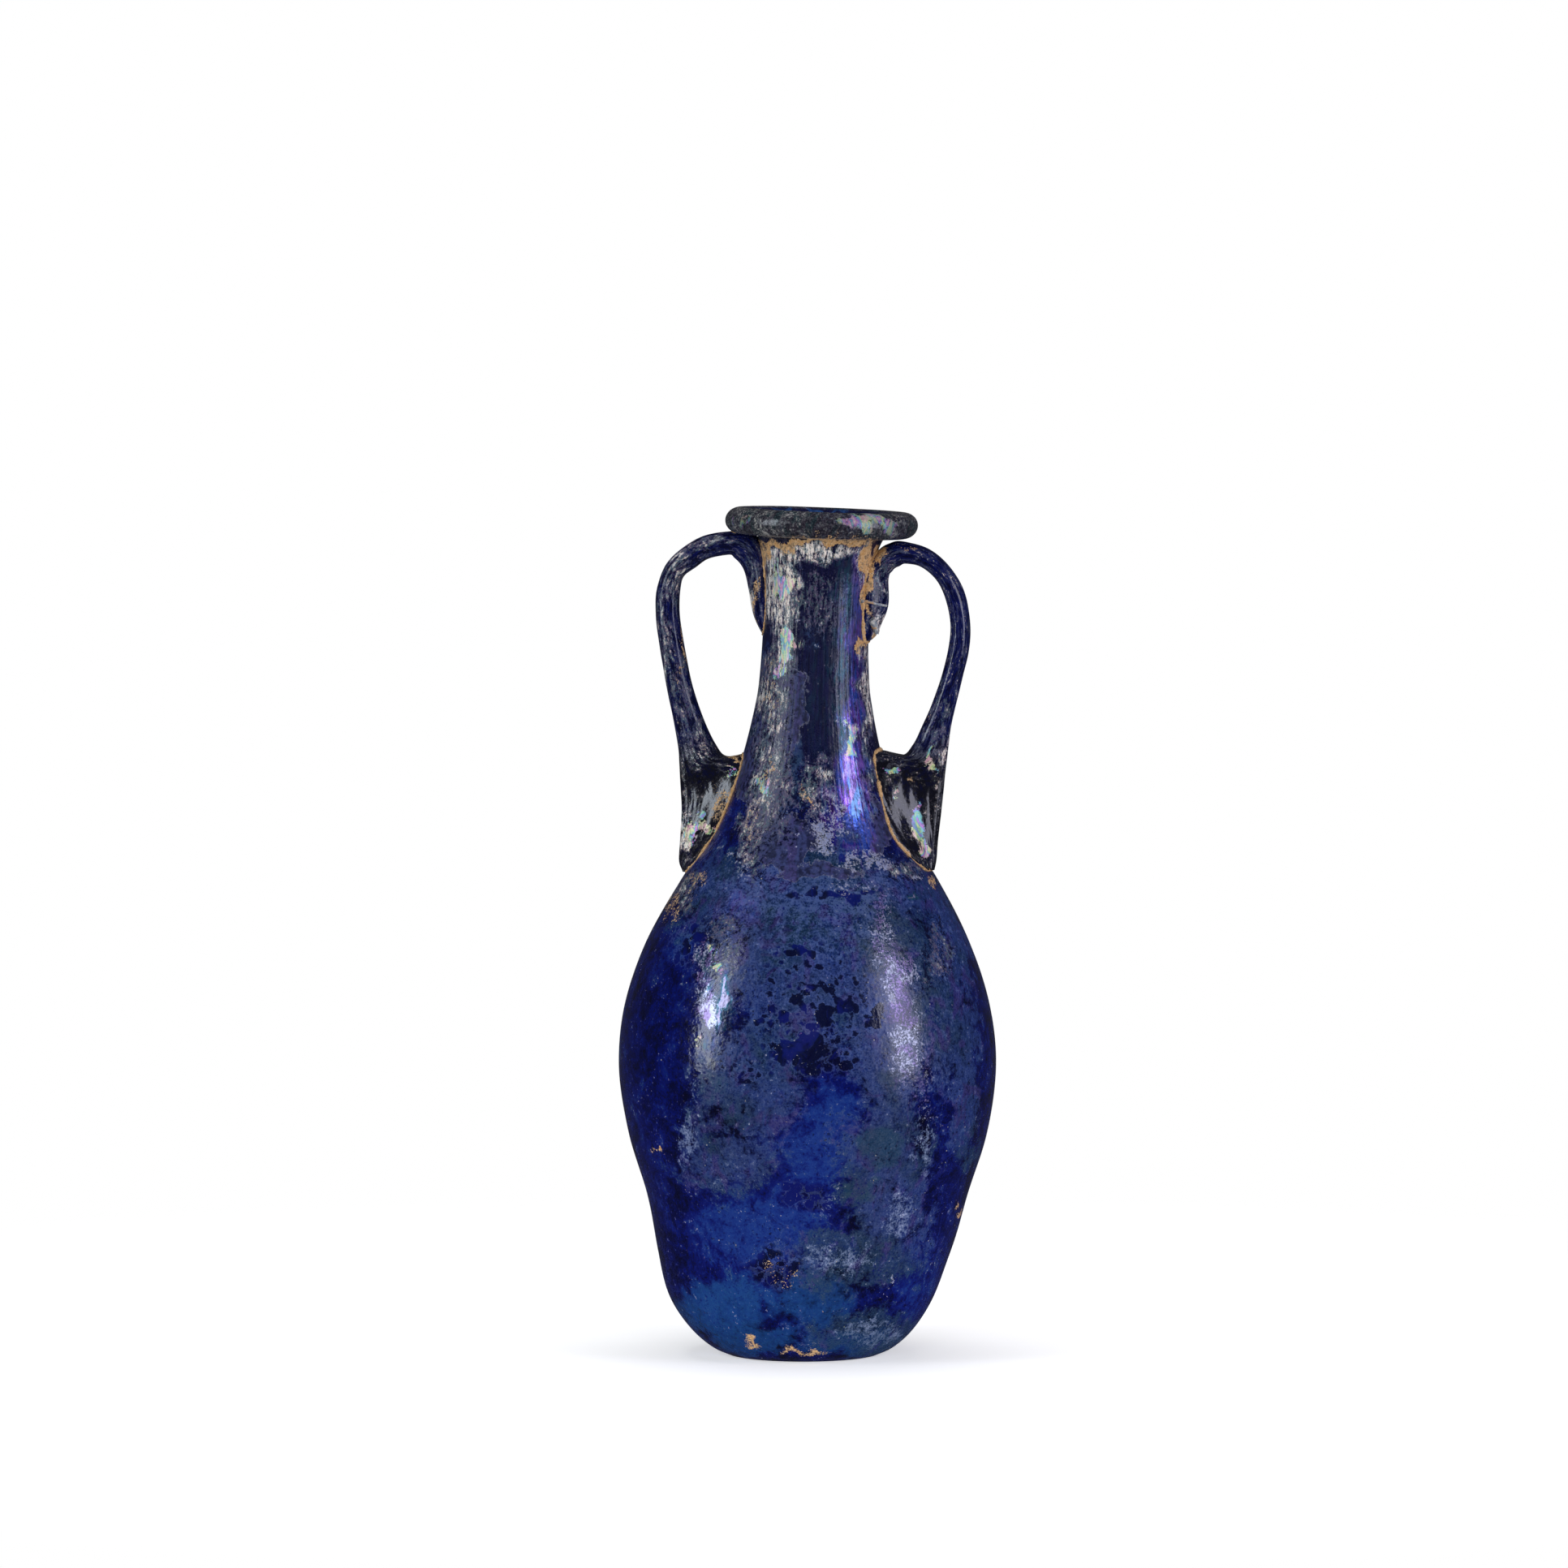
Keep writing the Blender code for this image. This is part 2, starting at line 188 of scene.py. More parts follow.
# Where each finish lies on the front: centre, half width and half height in the photograph's pixels, and
# how strongly it covers
VESSEL_FINISHES = {
    "haze": (
        (1000, 1100, 140, 50, 1.85),
        (1000, 1150, 110, 40, 1.6),
        (1000, 1190, 120, 70, 1.1),
        # These two at the right edge are strong partly as painted sheen: the broad sheen of the right-hand
        # light
        (1165, 1200, 30, 130, 1.1),
        (1190, 1330, 16, 110, 0.9),
        (1090, 1230, 60, 150, 1.0),
        (960, 1290, 70, 40, 0.8),
        (925, 1345, 66, 66, 0.85),
        (905, 1430, 66, 40, 0.75),
        (880, 1400, 40, 60, 0.65),
        (1090, 1430, 60, 90, 0.8),
        (1050, 1550, 90, 40, 0.9),
        (1100, 1500, 50, 60, 0.8),
        (1070, 1640, 70, 26, 0.9),
        (1000, 1050, 70, 34, 1.3),
        (930, 880, 50, 80, 0.8),
        (960, 920, 30, 110, 0.8),
        (925, 1080, 60, 40, 0.8),
        (870, 1130, 40, 40, 0.6),
    ),
    # Clean glass, whose brighter blue partly paints light coming through the glass
    "royal": (
        (1028, 1366, 38, 36, 0.9),
        (1000, 1420, 60, 44, 0.8),
        (935, 1515, 80, 50, 0.85),
        (1072, 1248, 14, 12, 1.0),
        (900, 1600, 60, 30, 0.7),
        (1130, 1580, 30, 70, 0.5),
        (845, 1168, 22, 26, 0.6),
    ),
    # Painted light: the lightest blue where light comes through the glass, near the foot and on the far wall
    # inside the mouth
    "azure": (
        (890, 1612, 62, 40, 1.0),
        (1000, 629, 44, 4, 1.2),
        (930, 1650, 60, 20, 0.9),
        (1000, 1600, 60, 40, 0.8),
        (1060, 1655, 80, 16, 0.95),
        (965, 1570, 40, 20, 0.4),
    ),
    "moss": (
        (1085, 1412, 34, 30, 1.0),
        (1062, 1462, 26, 18, 0.7),
        (880, 1345, 34, 40, 0.45),
        (893, 1258, 12, 20, 0.7),
        (955, 825, 14, 20, 0.6),
    ),
    "silver": (
        (962, 728, 24, 60, 1.16),
        (965, 800, 20, 40, 1.0),
        (950, 865, 20, 60, 0.98),
        (946, 945, 20, 60, 0.9),
        (928, 1020, 18, 60, 0.85),
        (1068, 860, 10, 75, 1.1),
        (1064, 700, 12, 46, 0.95),
        (1000, 681, 70, 14, 1.2),
        (950, 690, 12, 20, 1.2),
        (1012, 745, 24, 44, 0.6),
        (1040, 850, 14, 90, 0.42),
        (1008, 975, 26, 36, 0.95),
        (960, 985, 24, 50, 0.75),
        (1070, 960, 10, 60, 0.7),
        (842, 1095, 20, 26, 0.8),
        (1152, 1175, 18, 40, 0.6),
        (895, 1160, 24, 40, 0.55),
        (1110, 1070, 24, 14, 0.8),
    ),
    "film": (
        (956, 868, 38, 58, 1.0),
        (938, 960, 36, 60, 0.9),
        (966, 1036, 40, 36, 0.95),
        (1068, 862, 13, 62, 1.0),
        (1082, 1020, 24, 40, 0.7),
        (1010, 1072, 56, 14, 0.7),
        (1060, 735, 14, 60, 0.8),
        (1060, 950, 8, 30, 0.7),
    ),
    "clouds": (
        (847, 1402, 12, 26, 1.0),
        (900, 1455, 44, 12, 0.6),
        (1110, 1495, 20, 32, 1.0),
        (1035, 1553, 50, 20, 0.9),
        (1075, 1640, 48, 18, 0.9),
        (1138, 1420, 8, 44, 1.0),
        (1010, 1480, 26, 20, 0.5),
        (850, 1350, 12, 30, 0.6),
        (1165, 1180, 10, 36, 0.6),
    ),
    "flakes": (
        (1015, 1028, 24, 26, 0.95),
        (1070, 1058, 34, 14, 0.85),
        (1030, 1000, 14, 20, 0.7),
        (1128, 1076, 9, 5, 1.0),
        (1102, 1228, 7, 6, 1.2),
        (1100, 1584, 4, 7, 1.0),
        (1045, 1092, 30, 12, 0.5),
        (915, 1060, 20, 20, 0.5),
    ),
    # Mother-of-pearl film; the spots laid on the highlights of the body and neck are partly painted
    # highlights
    "pearl": (
        (968, 724, 12, 18, 1.0),
        (970, 792, 12, 22, 1.3),
        (962, 820, 9, 14, 0.8),
        (956, 700, 8, 14, 0.6),
        (878, 1180, 8, 30, 0.6),
        (864, 1285, 6, 24, 0.5),
        (1072, 645, 34, 9, 1.3),
        (1048, 908, 5, 24, 1.1),
        (948, 960, 5, 26, 0.7),
        (915, 643, 8, 8, 0.6),
    ),
    # Painted highlight: pale shining film laid where the lights' highlights fall, on the left core and down
    # the right band
    "lilac": (
        (875, 1247, 13, 20, 1.35),
        (868, 1200, 12, 50, 0.75),
        (1088, 1150, 18, 50, 0.72),
        (1106, 1215, 22, 50, 0.88),
        (1116, 1290, 22, 50, 0.82),
        (1140, 1330, 14, 60, 0.45),
        (1048, 900, 7, 26, 0.8),
    ),
    "violet": (
        (1050, 880, 7, 46, 0.6),
        (1050, 975, 18, 60, 1.2),
        (1064, 1030, 13, 26, 0.75),
        (1035, 1000, 20, 40, 0.3),
        (911, 1119, 20, 14, 0.16),
        (1056, 760, 9, 70, 0.35),
        (1050, 870, 7, 50, 0.7),
    ),
    "teal": (
        (1038, 770, 11, 90, 0.75),
        (1038, 905, 9, 42, 0.95),
        (1048, 1027, 9, 8, 1.2),
        (890, 1232, 6, 40, 1.3),
        (872, 1205, 6, 30, 1.0),
        (880, 1290, 7, 20, 0.5),
        (1126, 1105, 4, 4, 1.4),
        (1050, 960, 7, 20, 0.5),
        (1015, 850, 20, 80, 0.15),
    ),
    "pits": (
        (1000, 1245, 62, 80, 1.0),
        (985, 1180, 40, 18, 0.8),
        (915, 1318, 30, 14, 0.8),
        (852, 1165, 26, 30, 0.8),
        (1075, 1250, 22, 20, 0.7),
        (1110, 1290, 20, 20, 0.4),
    ),
    "windows": (
        (985, 1177, 20, 6, 0.9),
        (1003, 1190, 9, 6, 0.7),
        (996, 1302, 28, 26, 1.15),
        (1013, 1248, 12, 12, 1.1),
        (1022, 1222, 9, 6, 0.8),
        (975, 1222, 12, 5, 0.8),
        (960, 1250, 7, 9, 0.7),
        (1044, 1236, 11, 8, 0.85),
        (985, 1240, 9, 6, 0.8),
        (1024, 1288, 12, 7, 0.9),
        (966, 1302, 9, 8, 0.9),
        (1074, 1252, 11, 10, 1.0),
        (950, 1213, 6, 5, 0.7),
        (1052, 1180, 8, 5, 0.7),
        (988, 1265, 12, 6, 0.8),
        (1000, 1215, 12, 5, 0.8),
        (1040, 1312, 14, 7, 0.7),
        (912, 1326, 12, 5, 0.9),
        (858, 1154, 13, 10, 0.9),
        (842, 1174, 11, 12, 0.8),
        (1027, 1103, 62, 6, 0.75),
        (990, 1478, 24, 16, 0.6),
        (950, 1562, 32, 24, 0.62),
        (1050, 1045, 40, 10, 0.5),
    ),
    "soil": (
        (1000, 667, 66, 5, 1.3),
        (975, 676, 10, 8, 0.8),
        (1070, 712, 8, 52, 1.3),
        (1066, 770, 5, 34, 1.15),
        (1050, 663, 30, 6, 1.05),
        (945, 680, 5, 14, 0.85),
        (928, 1655, 9, 6, 0.85),
        (995, 1664, 28, 6, 0.72),
        (1015, 1608, 4, 3, 0.9),
        (960, 1564, 26, 22, 0.35),
        (1186, 1494, 4, 12, 0.8),
        (809, 1414, 4, 5, 0.8),
        (949, 955, 4, 26, 0.6),
        (992, 978, 5, 22, 0.6),
        (930, 1010, 10, 50, 0.38),
        (856, 1088, 14, 14, 0.5),
        (1152, 1086, 7, 8, 0.7),
        (828, 1115, 8, 26, 0.5),
        (1100, 640, 26, 10, 0.4),
        (952, 850, 10, 50, 0.42),
    ),
}
HANDLE_FINISHES = {
    "silver": (
        (832, 700, 24, 44, 0.75),
        (870, 668, 40, 10, 0.7),
        (815, 790, 9, 90, 0.75),
        (840, 850, 14, 60, 0.6),
        (862, 920, 16, 40, 0.8),
        (846, 1030, 12, 44, 1.05),
        (926, 705, 12, 30, 0.6),
        (926, 748, 10, 26, 1.15),
        (1088, 710, 14, 34, 0.8),
        (1080, 772, 12, 24, 1.2),
        (1162, 830, 6, 90, 0.7),
        (1166, 940, 7, 60, 0.95),
        (1150, 900, 10, 60, 0.6),
        (1118, 985, 26, 60, 0.3),
        (900, 960, 24, 26, 0.35),
        (1140, 1050, 10, 26, 0.8),
    ),
    # Mother-of-pearl film; the streak on the right pad lies where the right light reflects and is partly a
    # painted highlight
    "pearl": (
        (866, 1015, 14, 14, 0.85),
        (852, 1030, 7, 30, 0.75),
        (884, 1030, 10, 24, 0.75),
        (900, 955, 12, 14, 0.6),
        (1096, 945, 16, 4, 1.0),
        (1134, 1020, 7, 36, 1.05),
        (1106, 975, 5, 18, 0.6),
        (1150, 935, 4, 22, 0.7),
    ),
    "soil": (
        (905, 934, 22, 4, 0.7),
        (933, 742, 5, 36, 0.7),
        (1072, 716, 6, 46, 1.0),
        (1084, 684, 7, 12, 0.85),
        (1112, 672, 16, 3, 0.6),
        (1121, 959, 5, 6, 1.0),
        (888, 985, 12, 22, 0.6),
        (842, 800, 4, 60, 0.55),
        (1082, 785, 8, 10, 0.9),
        (878, 1050, 14, 12, 0.6),
        (1150, 760, 4, 40, 0.4),
        (1140, 880, 4, 30, 0.5),
    ),
}

# The glass trail across the right handle's tail, and the rounded end under it
TRAIL = ((1061, 741), (1068, 741), (1076, 743), (1084, 745), (1091, 746))
TAIL_END = ((1073, 762), (1077, 771), (1079, 779))


# Sizes and colours that a user would change


def length(name, description, millimetres):
    metres = millimetres * MM
    return FloatProperty(name=name, description=description, default=metres, unit="LENGTH", precision=5)


def angle(name, description, degrees):
    return FloatProperty(name=name, description=description, default=math.radians(degrees), subtype="ANGLE")


def power(name, description, watts):
    return FloatProperty(name=name, description=description, default=watts, unit="POWER")


def colour(name, description, shade):
    return FloatVectorProperty(
        name=name, description=description, default=shade, subtype="COLOR", size=3, min=0, max=1
    )


class GlassSizes(bpy.types.PropertyGroup):
    """Sizes of the vessel and its handles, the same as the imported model's."""

    belly_height: length("Belly height", "From the floor to the widest part", 56.0)
    shoulder_rise: length("Shoulder rise", "From the widest part to the foot of the neck", 75.0)
    neck_length: length("Neck length", "The even part of the neck", 21.0)
    flare_height: length("Flare height", "Where the neck opens under the rim", 7.3)
    roll_height: length("Roll height", "The rim's roll from its underside to its top", 5.1)
    foot_radius: length("Foot radius", "Outer radius of the foot's flat ring", 14.8)
    belly_radius: length("Belly radius", "Outer radius at the widest part", 36.7)
    neck_radius: length("Neck radius", "Outer radius of the neck", 10.5)
    rim_radius: length("Rim radius", "Outer radius of the rim", 18.7)
    roll_width: length("Roll width", "The roll from the mouth to its outer edge", 5.6)
    lean: length("Lean", "How far the rim stands off the belly's axis", 2.9)
    neck_wall: length("Neck wall", "Thickness of the glass in the neck", 2.0)
    body_wall: length("Body wall", "Thickness of the glass in the body", 1.9)
    floor_thickness: length("Floor", "Thickness of the glass under the cavity", 3.2)
    inner_knuckle: length("Inner rounding", "Height of the rounding inside above the floor", 8.0)
    kick_radius: length("Dent radius", "Radius of the dent under the foot", 8.5)
    kick_depth: length("Dent depth", "Depth of the dent under the foot", 0.9)
    rim_dip: angle("Rim dip", "Slope of the rim towards +X", 2.1)
    rod_depth: length("Rod", "Front to back size of a handle's rod", 5.2)
    left_reach: length("Left reach", "How far the left handle stands out from the neck", 20.8)
    right_reach: length("Right reach", "How far the right handle stands out from the neck", 19.6)
    toe_rise: length("Toe rise", "How high a handle's toe stands on the shoulder", 1.1)
    tail_width: length("Tail width", "Width of a handle's tail on the neck", 9.2)
    left_pad_width: length("Left pad", "Width of the left handle's pad", 21.0)
    right_pad_width: length("Right pad", "Width of the right handle's pad", 23.5)
    handle_turn: angle("Handle turn", "Turn of the pair about the vessel", -7)
    weld_depth: length("Weld depth", "How far the handles sink into the vessel's wall", 0.6)
    wobble: length("Wobble", "Unevenness of the blown wall", 0.12)
    rod_ridges: length("Rod ridges", "Height of the lengthwise ridges along a handle's rod", 0.07)


class GlassColours(bpy.types.PropertyGroup):
    """Colours of the glass, of its weathered film and of the soil. Some also paint light: light coming
    through the glass, and highlights.
    """

    black: colour("Black", "Bare glass of the pads, the darkest", (0.0045, 0.0045, 0.009))
    cobalt: colour("Cobalt", "Bare glass where light comes through", (0.0015, 0.005, 0.09))
    # Partly painted light: clean glass made brighter blue where light comes through it
    royal: colour("Royal blue", "Clean patches of the body", (0.009, 0.038, 0.2))
    # Painted light: the blue of light coming through the glass
    azure: colour("Azure", "The lightest blue, near the foot", (0.008, 0.056, 0.195))
    moss: colour("Moss", "The dark green cast of some patches", (0.01, 0.048, 0.07))
    haze: colour("Haze", "The thin slate-blue film", (0.022, 0.05, 0.175))
    haze_pale: colour("Pale haze", "The thicker, paler film", (0.078, 0.122, 0.32))
    film: colour("Film", "The grey film with torn edges", (0.033, 0.043, 0.14))
    silver: colour("Silver", "The palest flecks of film", (0.92, 0.84, 0.75))
    flake: colour("Flake", "Loose grey-white flakes of film", (0.33, 0.37, 0.58))
    # Partly a painted highlight: pale film colour laid where the lights' highlights fall
    lilac: colour("Lilac", "The shining film in the brightest places", (0.52, 0.54, 0.74))
    violet: colour("Violet", "The violet sheen", (0.28, 0.09, 0.72))
    teal: colour("Teal", "The blue-green sheen", (0.01, 0.11, 0.15))
    soil: colour("Soil", "Ochre soil", (0.52, 0.27, 0.09))
    soil_pale: colour("Pale soil", "Dried crust on the soil", (0.75, 0.52, 0.29))


class SoilSizes(bpy.types.PropertyGroup):
    """Sizes of the soil in the seams, and of the glass trail."""

    ridge: length("Ridge radius", "Radius of the soil packed in a seam", 0.42)
    step: length("Step", "Distance between the ridge's points", 0.22)
    lump: length("Lumps", "Unevenness of the ridge", 0.22)
    grain: length("Grain radius", "Radius of a loose grain", 0.11)
    trail: length("Trail radius", "Radius of the glass trail on the right tail", 0.36)
    density: FloatProperty(
        name="Grain density", description="Grains on a square metre of ridge", default=1.6e6, min=0
    )
    seed: IntProperty(name="Seed", description="Seed of the grains' places", default=7)


class StageSettings(bpy.types.PropertyGroup):
    """The camera, the lights and the floor."""

    camera_distance: length("Camera distance", "From the camera to the amphora's axis", 1800.0)
    camera_height: length("Camera height", "Height of the camera above the floor", 225.0)
    light_power: power("Soft box power", "Power of the right soft box", 4.8)
    fill_power: power("Fill power", "Power of the overhead light", 12.0)
    floor: colour("Floor", "Colour of the floor", (0.9, 0.9, 0.9))
    floor_glow: FloatProperty(name="Floor glow", description="Light that the floor gives off", default=0.56)


# Nodes written as Python


GLASS_IOR = 1.52


class Value:
    """A socket that takes part in arithmetic: each operation adds a Math node."""

    def __init__(self, nodes, socket):
        self.nodes = nodes
        self.socket = socket

    def math(self, operation, *others, clamp=False):
        settings = {"operation": operation, "use_clamp": clamp}
        made = self.nodes.add("ShaderNodeMath", settings, dict(enumerate((self, *others))))
        return Value(self.nodes, made.outputs[0])

    def reflected(self, operation, other):
        made = self.nodes.add("ShaderNodeMath", {"operation": operation}, {0: other, 1: self})
        return Value(self.nodes, made.outputs[0])

    def __add__(self, other):
        return self.math("ADD", other)

    def __sub__(self, other):
        return self.math("SUBTRACT", other)

    def __mul__(self, other):
        return self.math("MULTIPLY", other)

    def __rsub__(self, other):
        return self.reflected("SUBTRACT", other)

    __radd__ = __add__
    __rmul__ = __mul__

    def between(self, low, high):
        """0 at low and 1 at high, with soft ends."""
        ends = {"Value": self, "From Min": low, "From Max": high}
        made = self.nodes.add("ShaderNodeMapRange", {"interpolation_type": "SMOOTHSTEP"}, ends)
        return Value(self.nodes, made.outputs[0])

    def larger(self, other):
        return self.math("MAXIMUM", other)

    def near(self, middle, width):
        """1 at the middle and 0 from that width away."""
        return (self - middle).math("ABSOLUTE").between(width, 0.0)

    def kept(self):
        """Held between 0 and 1."""
        return self.math("ADD", 0.0, clamp=True)


class Nodes:
    """Adds nodes to a tree. A call gives a node's type, its settings and its sockets' values or links."""

    def __init__(self, tree):
        self.tree = tree
        tree.nodes.clear()

    def add(self, kind, settings=None, sockets=None):
        made = self.tree.nodes.new(kind)
        for name, value in (settings or {}).items():
            setattr(made, name, value)
        for key, value in (sockets or {}).items():
            self.feed(made.inputs[key], value)
        return made

    def feed(self, socket, value):
        if isinstance(value, Value):
            self.tree.links.new(value.socket, socket)
        elif isinstance(value, bpy.types.NodeSocket):
            self.tree.links.new(value, socket)
        elif socket.type == "RGBA":
            socket.default_value = (*value[:3], 1.0)
        else:
            socket.default_value = value

    def place(self):
        """Object coordinates in millimetres."""
        made = self.add("ShaderNodeTexCoord")
        return self.scaled(made.outputs["Object"], (1 / MM,) * 3)

    def scaled(self, vector, factors):
        sockets = {0: vector, 1: factors}
        return self.add("ShaderNodeVectorMath", {"operation": "MULTIPLY"}, sockets).outputs[0]

    def attribute(self, name):
        return Value(self, self.add("ShaderNodeAttribute", {"attribute_name": name}).outputs["Fac"])

    def direction(self, name):
        return self.add("ShaderNodeAttribute", {"attribute_name": name}).outputs["Vector"]

    def noise(self, vector, scale, detail=3.0, roughness=0.55, distortion=0.0):
        made = self.add("ShaderNodeTexNoise", None, {
            "Vector": vector,
            "Scale": scale,
            "Detail": detail,
            "Roughness": roughness,
            "Distortion": distortion,
        })
        return Value(self, made.outputs[0])

    def cells(self, vector, scale):
        made = self.add("ShaderNodeTexVoronoi", None, {"Vector": vector, "Scale": scale})
        return Value(self, made.outputs["Distance"])

    def wavering(self, vector, scale):
        """The places, pushed about by noise of that scale."""
        push = self.add("ShaderNodeTexNoise", None, {"Vector": vector, "Scale": scale}).outputs["Color"]
        return self.add("ShaderNodeVectorMath", {"operation": "ADD"}, {0: vector, 1: push}).outputs[0]

    def blend(self, factor, first, second):
        """The first colour where the factor is 0, the second where it is 1."""
        made = self.add("ShaderNodeMix", {"data_type": "RGBA"}, {0: factor, 6: first, 7: second})
        return made.outputs[2]

    def ramp(self, value, stops):
        made = self.add("ShaderNodeValToRGB", None, {0: value})
        elements = made.color_ramp.elements
        while len(elements) < len(stops):
            elements.new(1.0)
        for element, (position, shade) in zip(elements, stops):
            element.position = position
            element.color = (*shade, 1.0)
        return made.outputs[0]


class Finish:
    """A surface built up in layers, from the glass outwards."""

    def __init__(self, name, roughness=0.5):
        self.material = bpy.data.materials.new(name)
        self.material.use_nodes = True
        self.nodes = Nodes(self.material.node_tree)
        self.colour = (0, 0, 0)
        self.roughness = roughness
        self.metallic = 0.0
        self.height = None

    def lay(self, mask, colour, strength=1.0, roughness=None, metallic=0.0):
        """Covers what lies below where the mask is 1, that strongly. Without a roughness it only tints."""
        cover = mask if strength == 1.0 else mask * strength
        self.colour = self.nodes.blend(cover, self.colour, colour)
        if roughness is not None:
            self.roughness = cover * roughness + (1 - cover) * self.roughness
            self.metallic = cover * metallic + (1 - cover) * self.metallic

    def raise_by(self, height):
        """Adds relief in millimetres."""
        self.height = height if self.height is None else self.height + height

    def finish(self):
        normal = self.nodes.add("ShaderNodeBump", None, {"Distance": MM, "Height": self.height})
        shader = self.nodes.add("ShaderNodeBsdfPrincipled", None, {
            "Base Color": self.colour,
            "Roughness": self.roughness,
            "Metallic": self.metallic,
            "IOR": GLASS_IOR,
            "Normal": normal.outputs[0],
        })
        self.nodes.add("ShaderNodeOutputMaterial", None, {"Surface": shader.outputs[0]})
        return self.material


# Shapes


# Points from each given point to the next on the drift's curve and on the funnel's, and the rings of a
# block's roll
DRIFT_STEPS = 8
FUNNEL_STEPS = 4
BLOCK_ROLL_RINGS = 24


def smooth_curve(points, steps):
    """Rows on a smooth curve through the given rows, with so many steps from each to the next."""
    rows = np.array(points, float)
    spans = np.sqrt(np.linalg.norm(np.diff(rows, axis=0), axis=1))
    along = np.concatenate(([0.0], np.cumsum(spans)))
    slopes = np.gradient(rows, along, axis=0)
    curve = []
    for i, span in enumerate(spans):
        for t in np.arange(steps) / steps:
            curve.append(
                (2 * t**3 - 3 * t**2 + 1) * rows[i]
                + (t**3 - 2 * t**2 + t) * span * slopes[i]
                + (3 * t**2 - 2 * t**3) * rows[i + 1]
                + (t**3 - t**2) * span * slopes[i + 1]
            )
    curve.append(rows[-1])
    return np.array(curve)


def evened(rows, step):
    """The same line with its rows about that far apart."""
    along = np.concatenate(([0.0], np.cumsum(np.linalg.norm(np.diff(rows, axis=0), axis=1))))
    places = np.linspace(0, along[-1], round(along[-1] / step) + 1)
    return np.column_stack([np.interp(places, along, column) for column in rows.T])


def smooth_step(value, low, high):
    """0 up to low, 1 from high on, and an even ramp between them."""
    t = np.clip((value - low) / (high - low), 0.0, 1.0)
    return t * t * (3 - 2 * t)


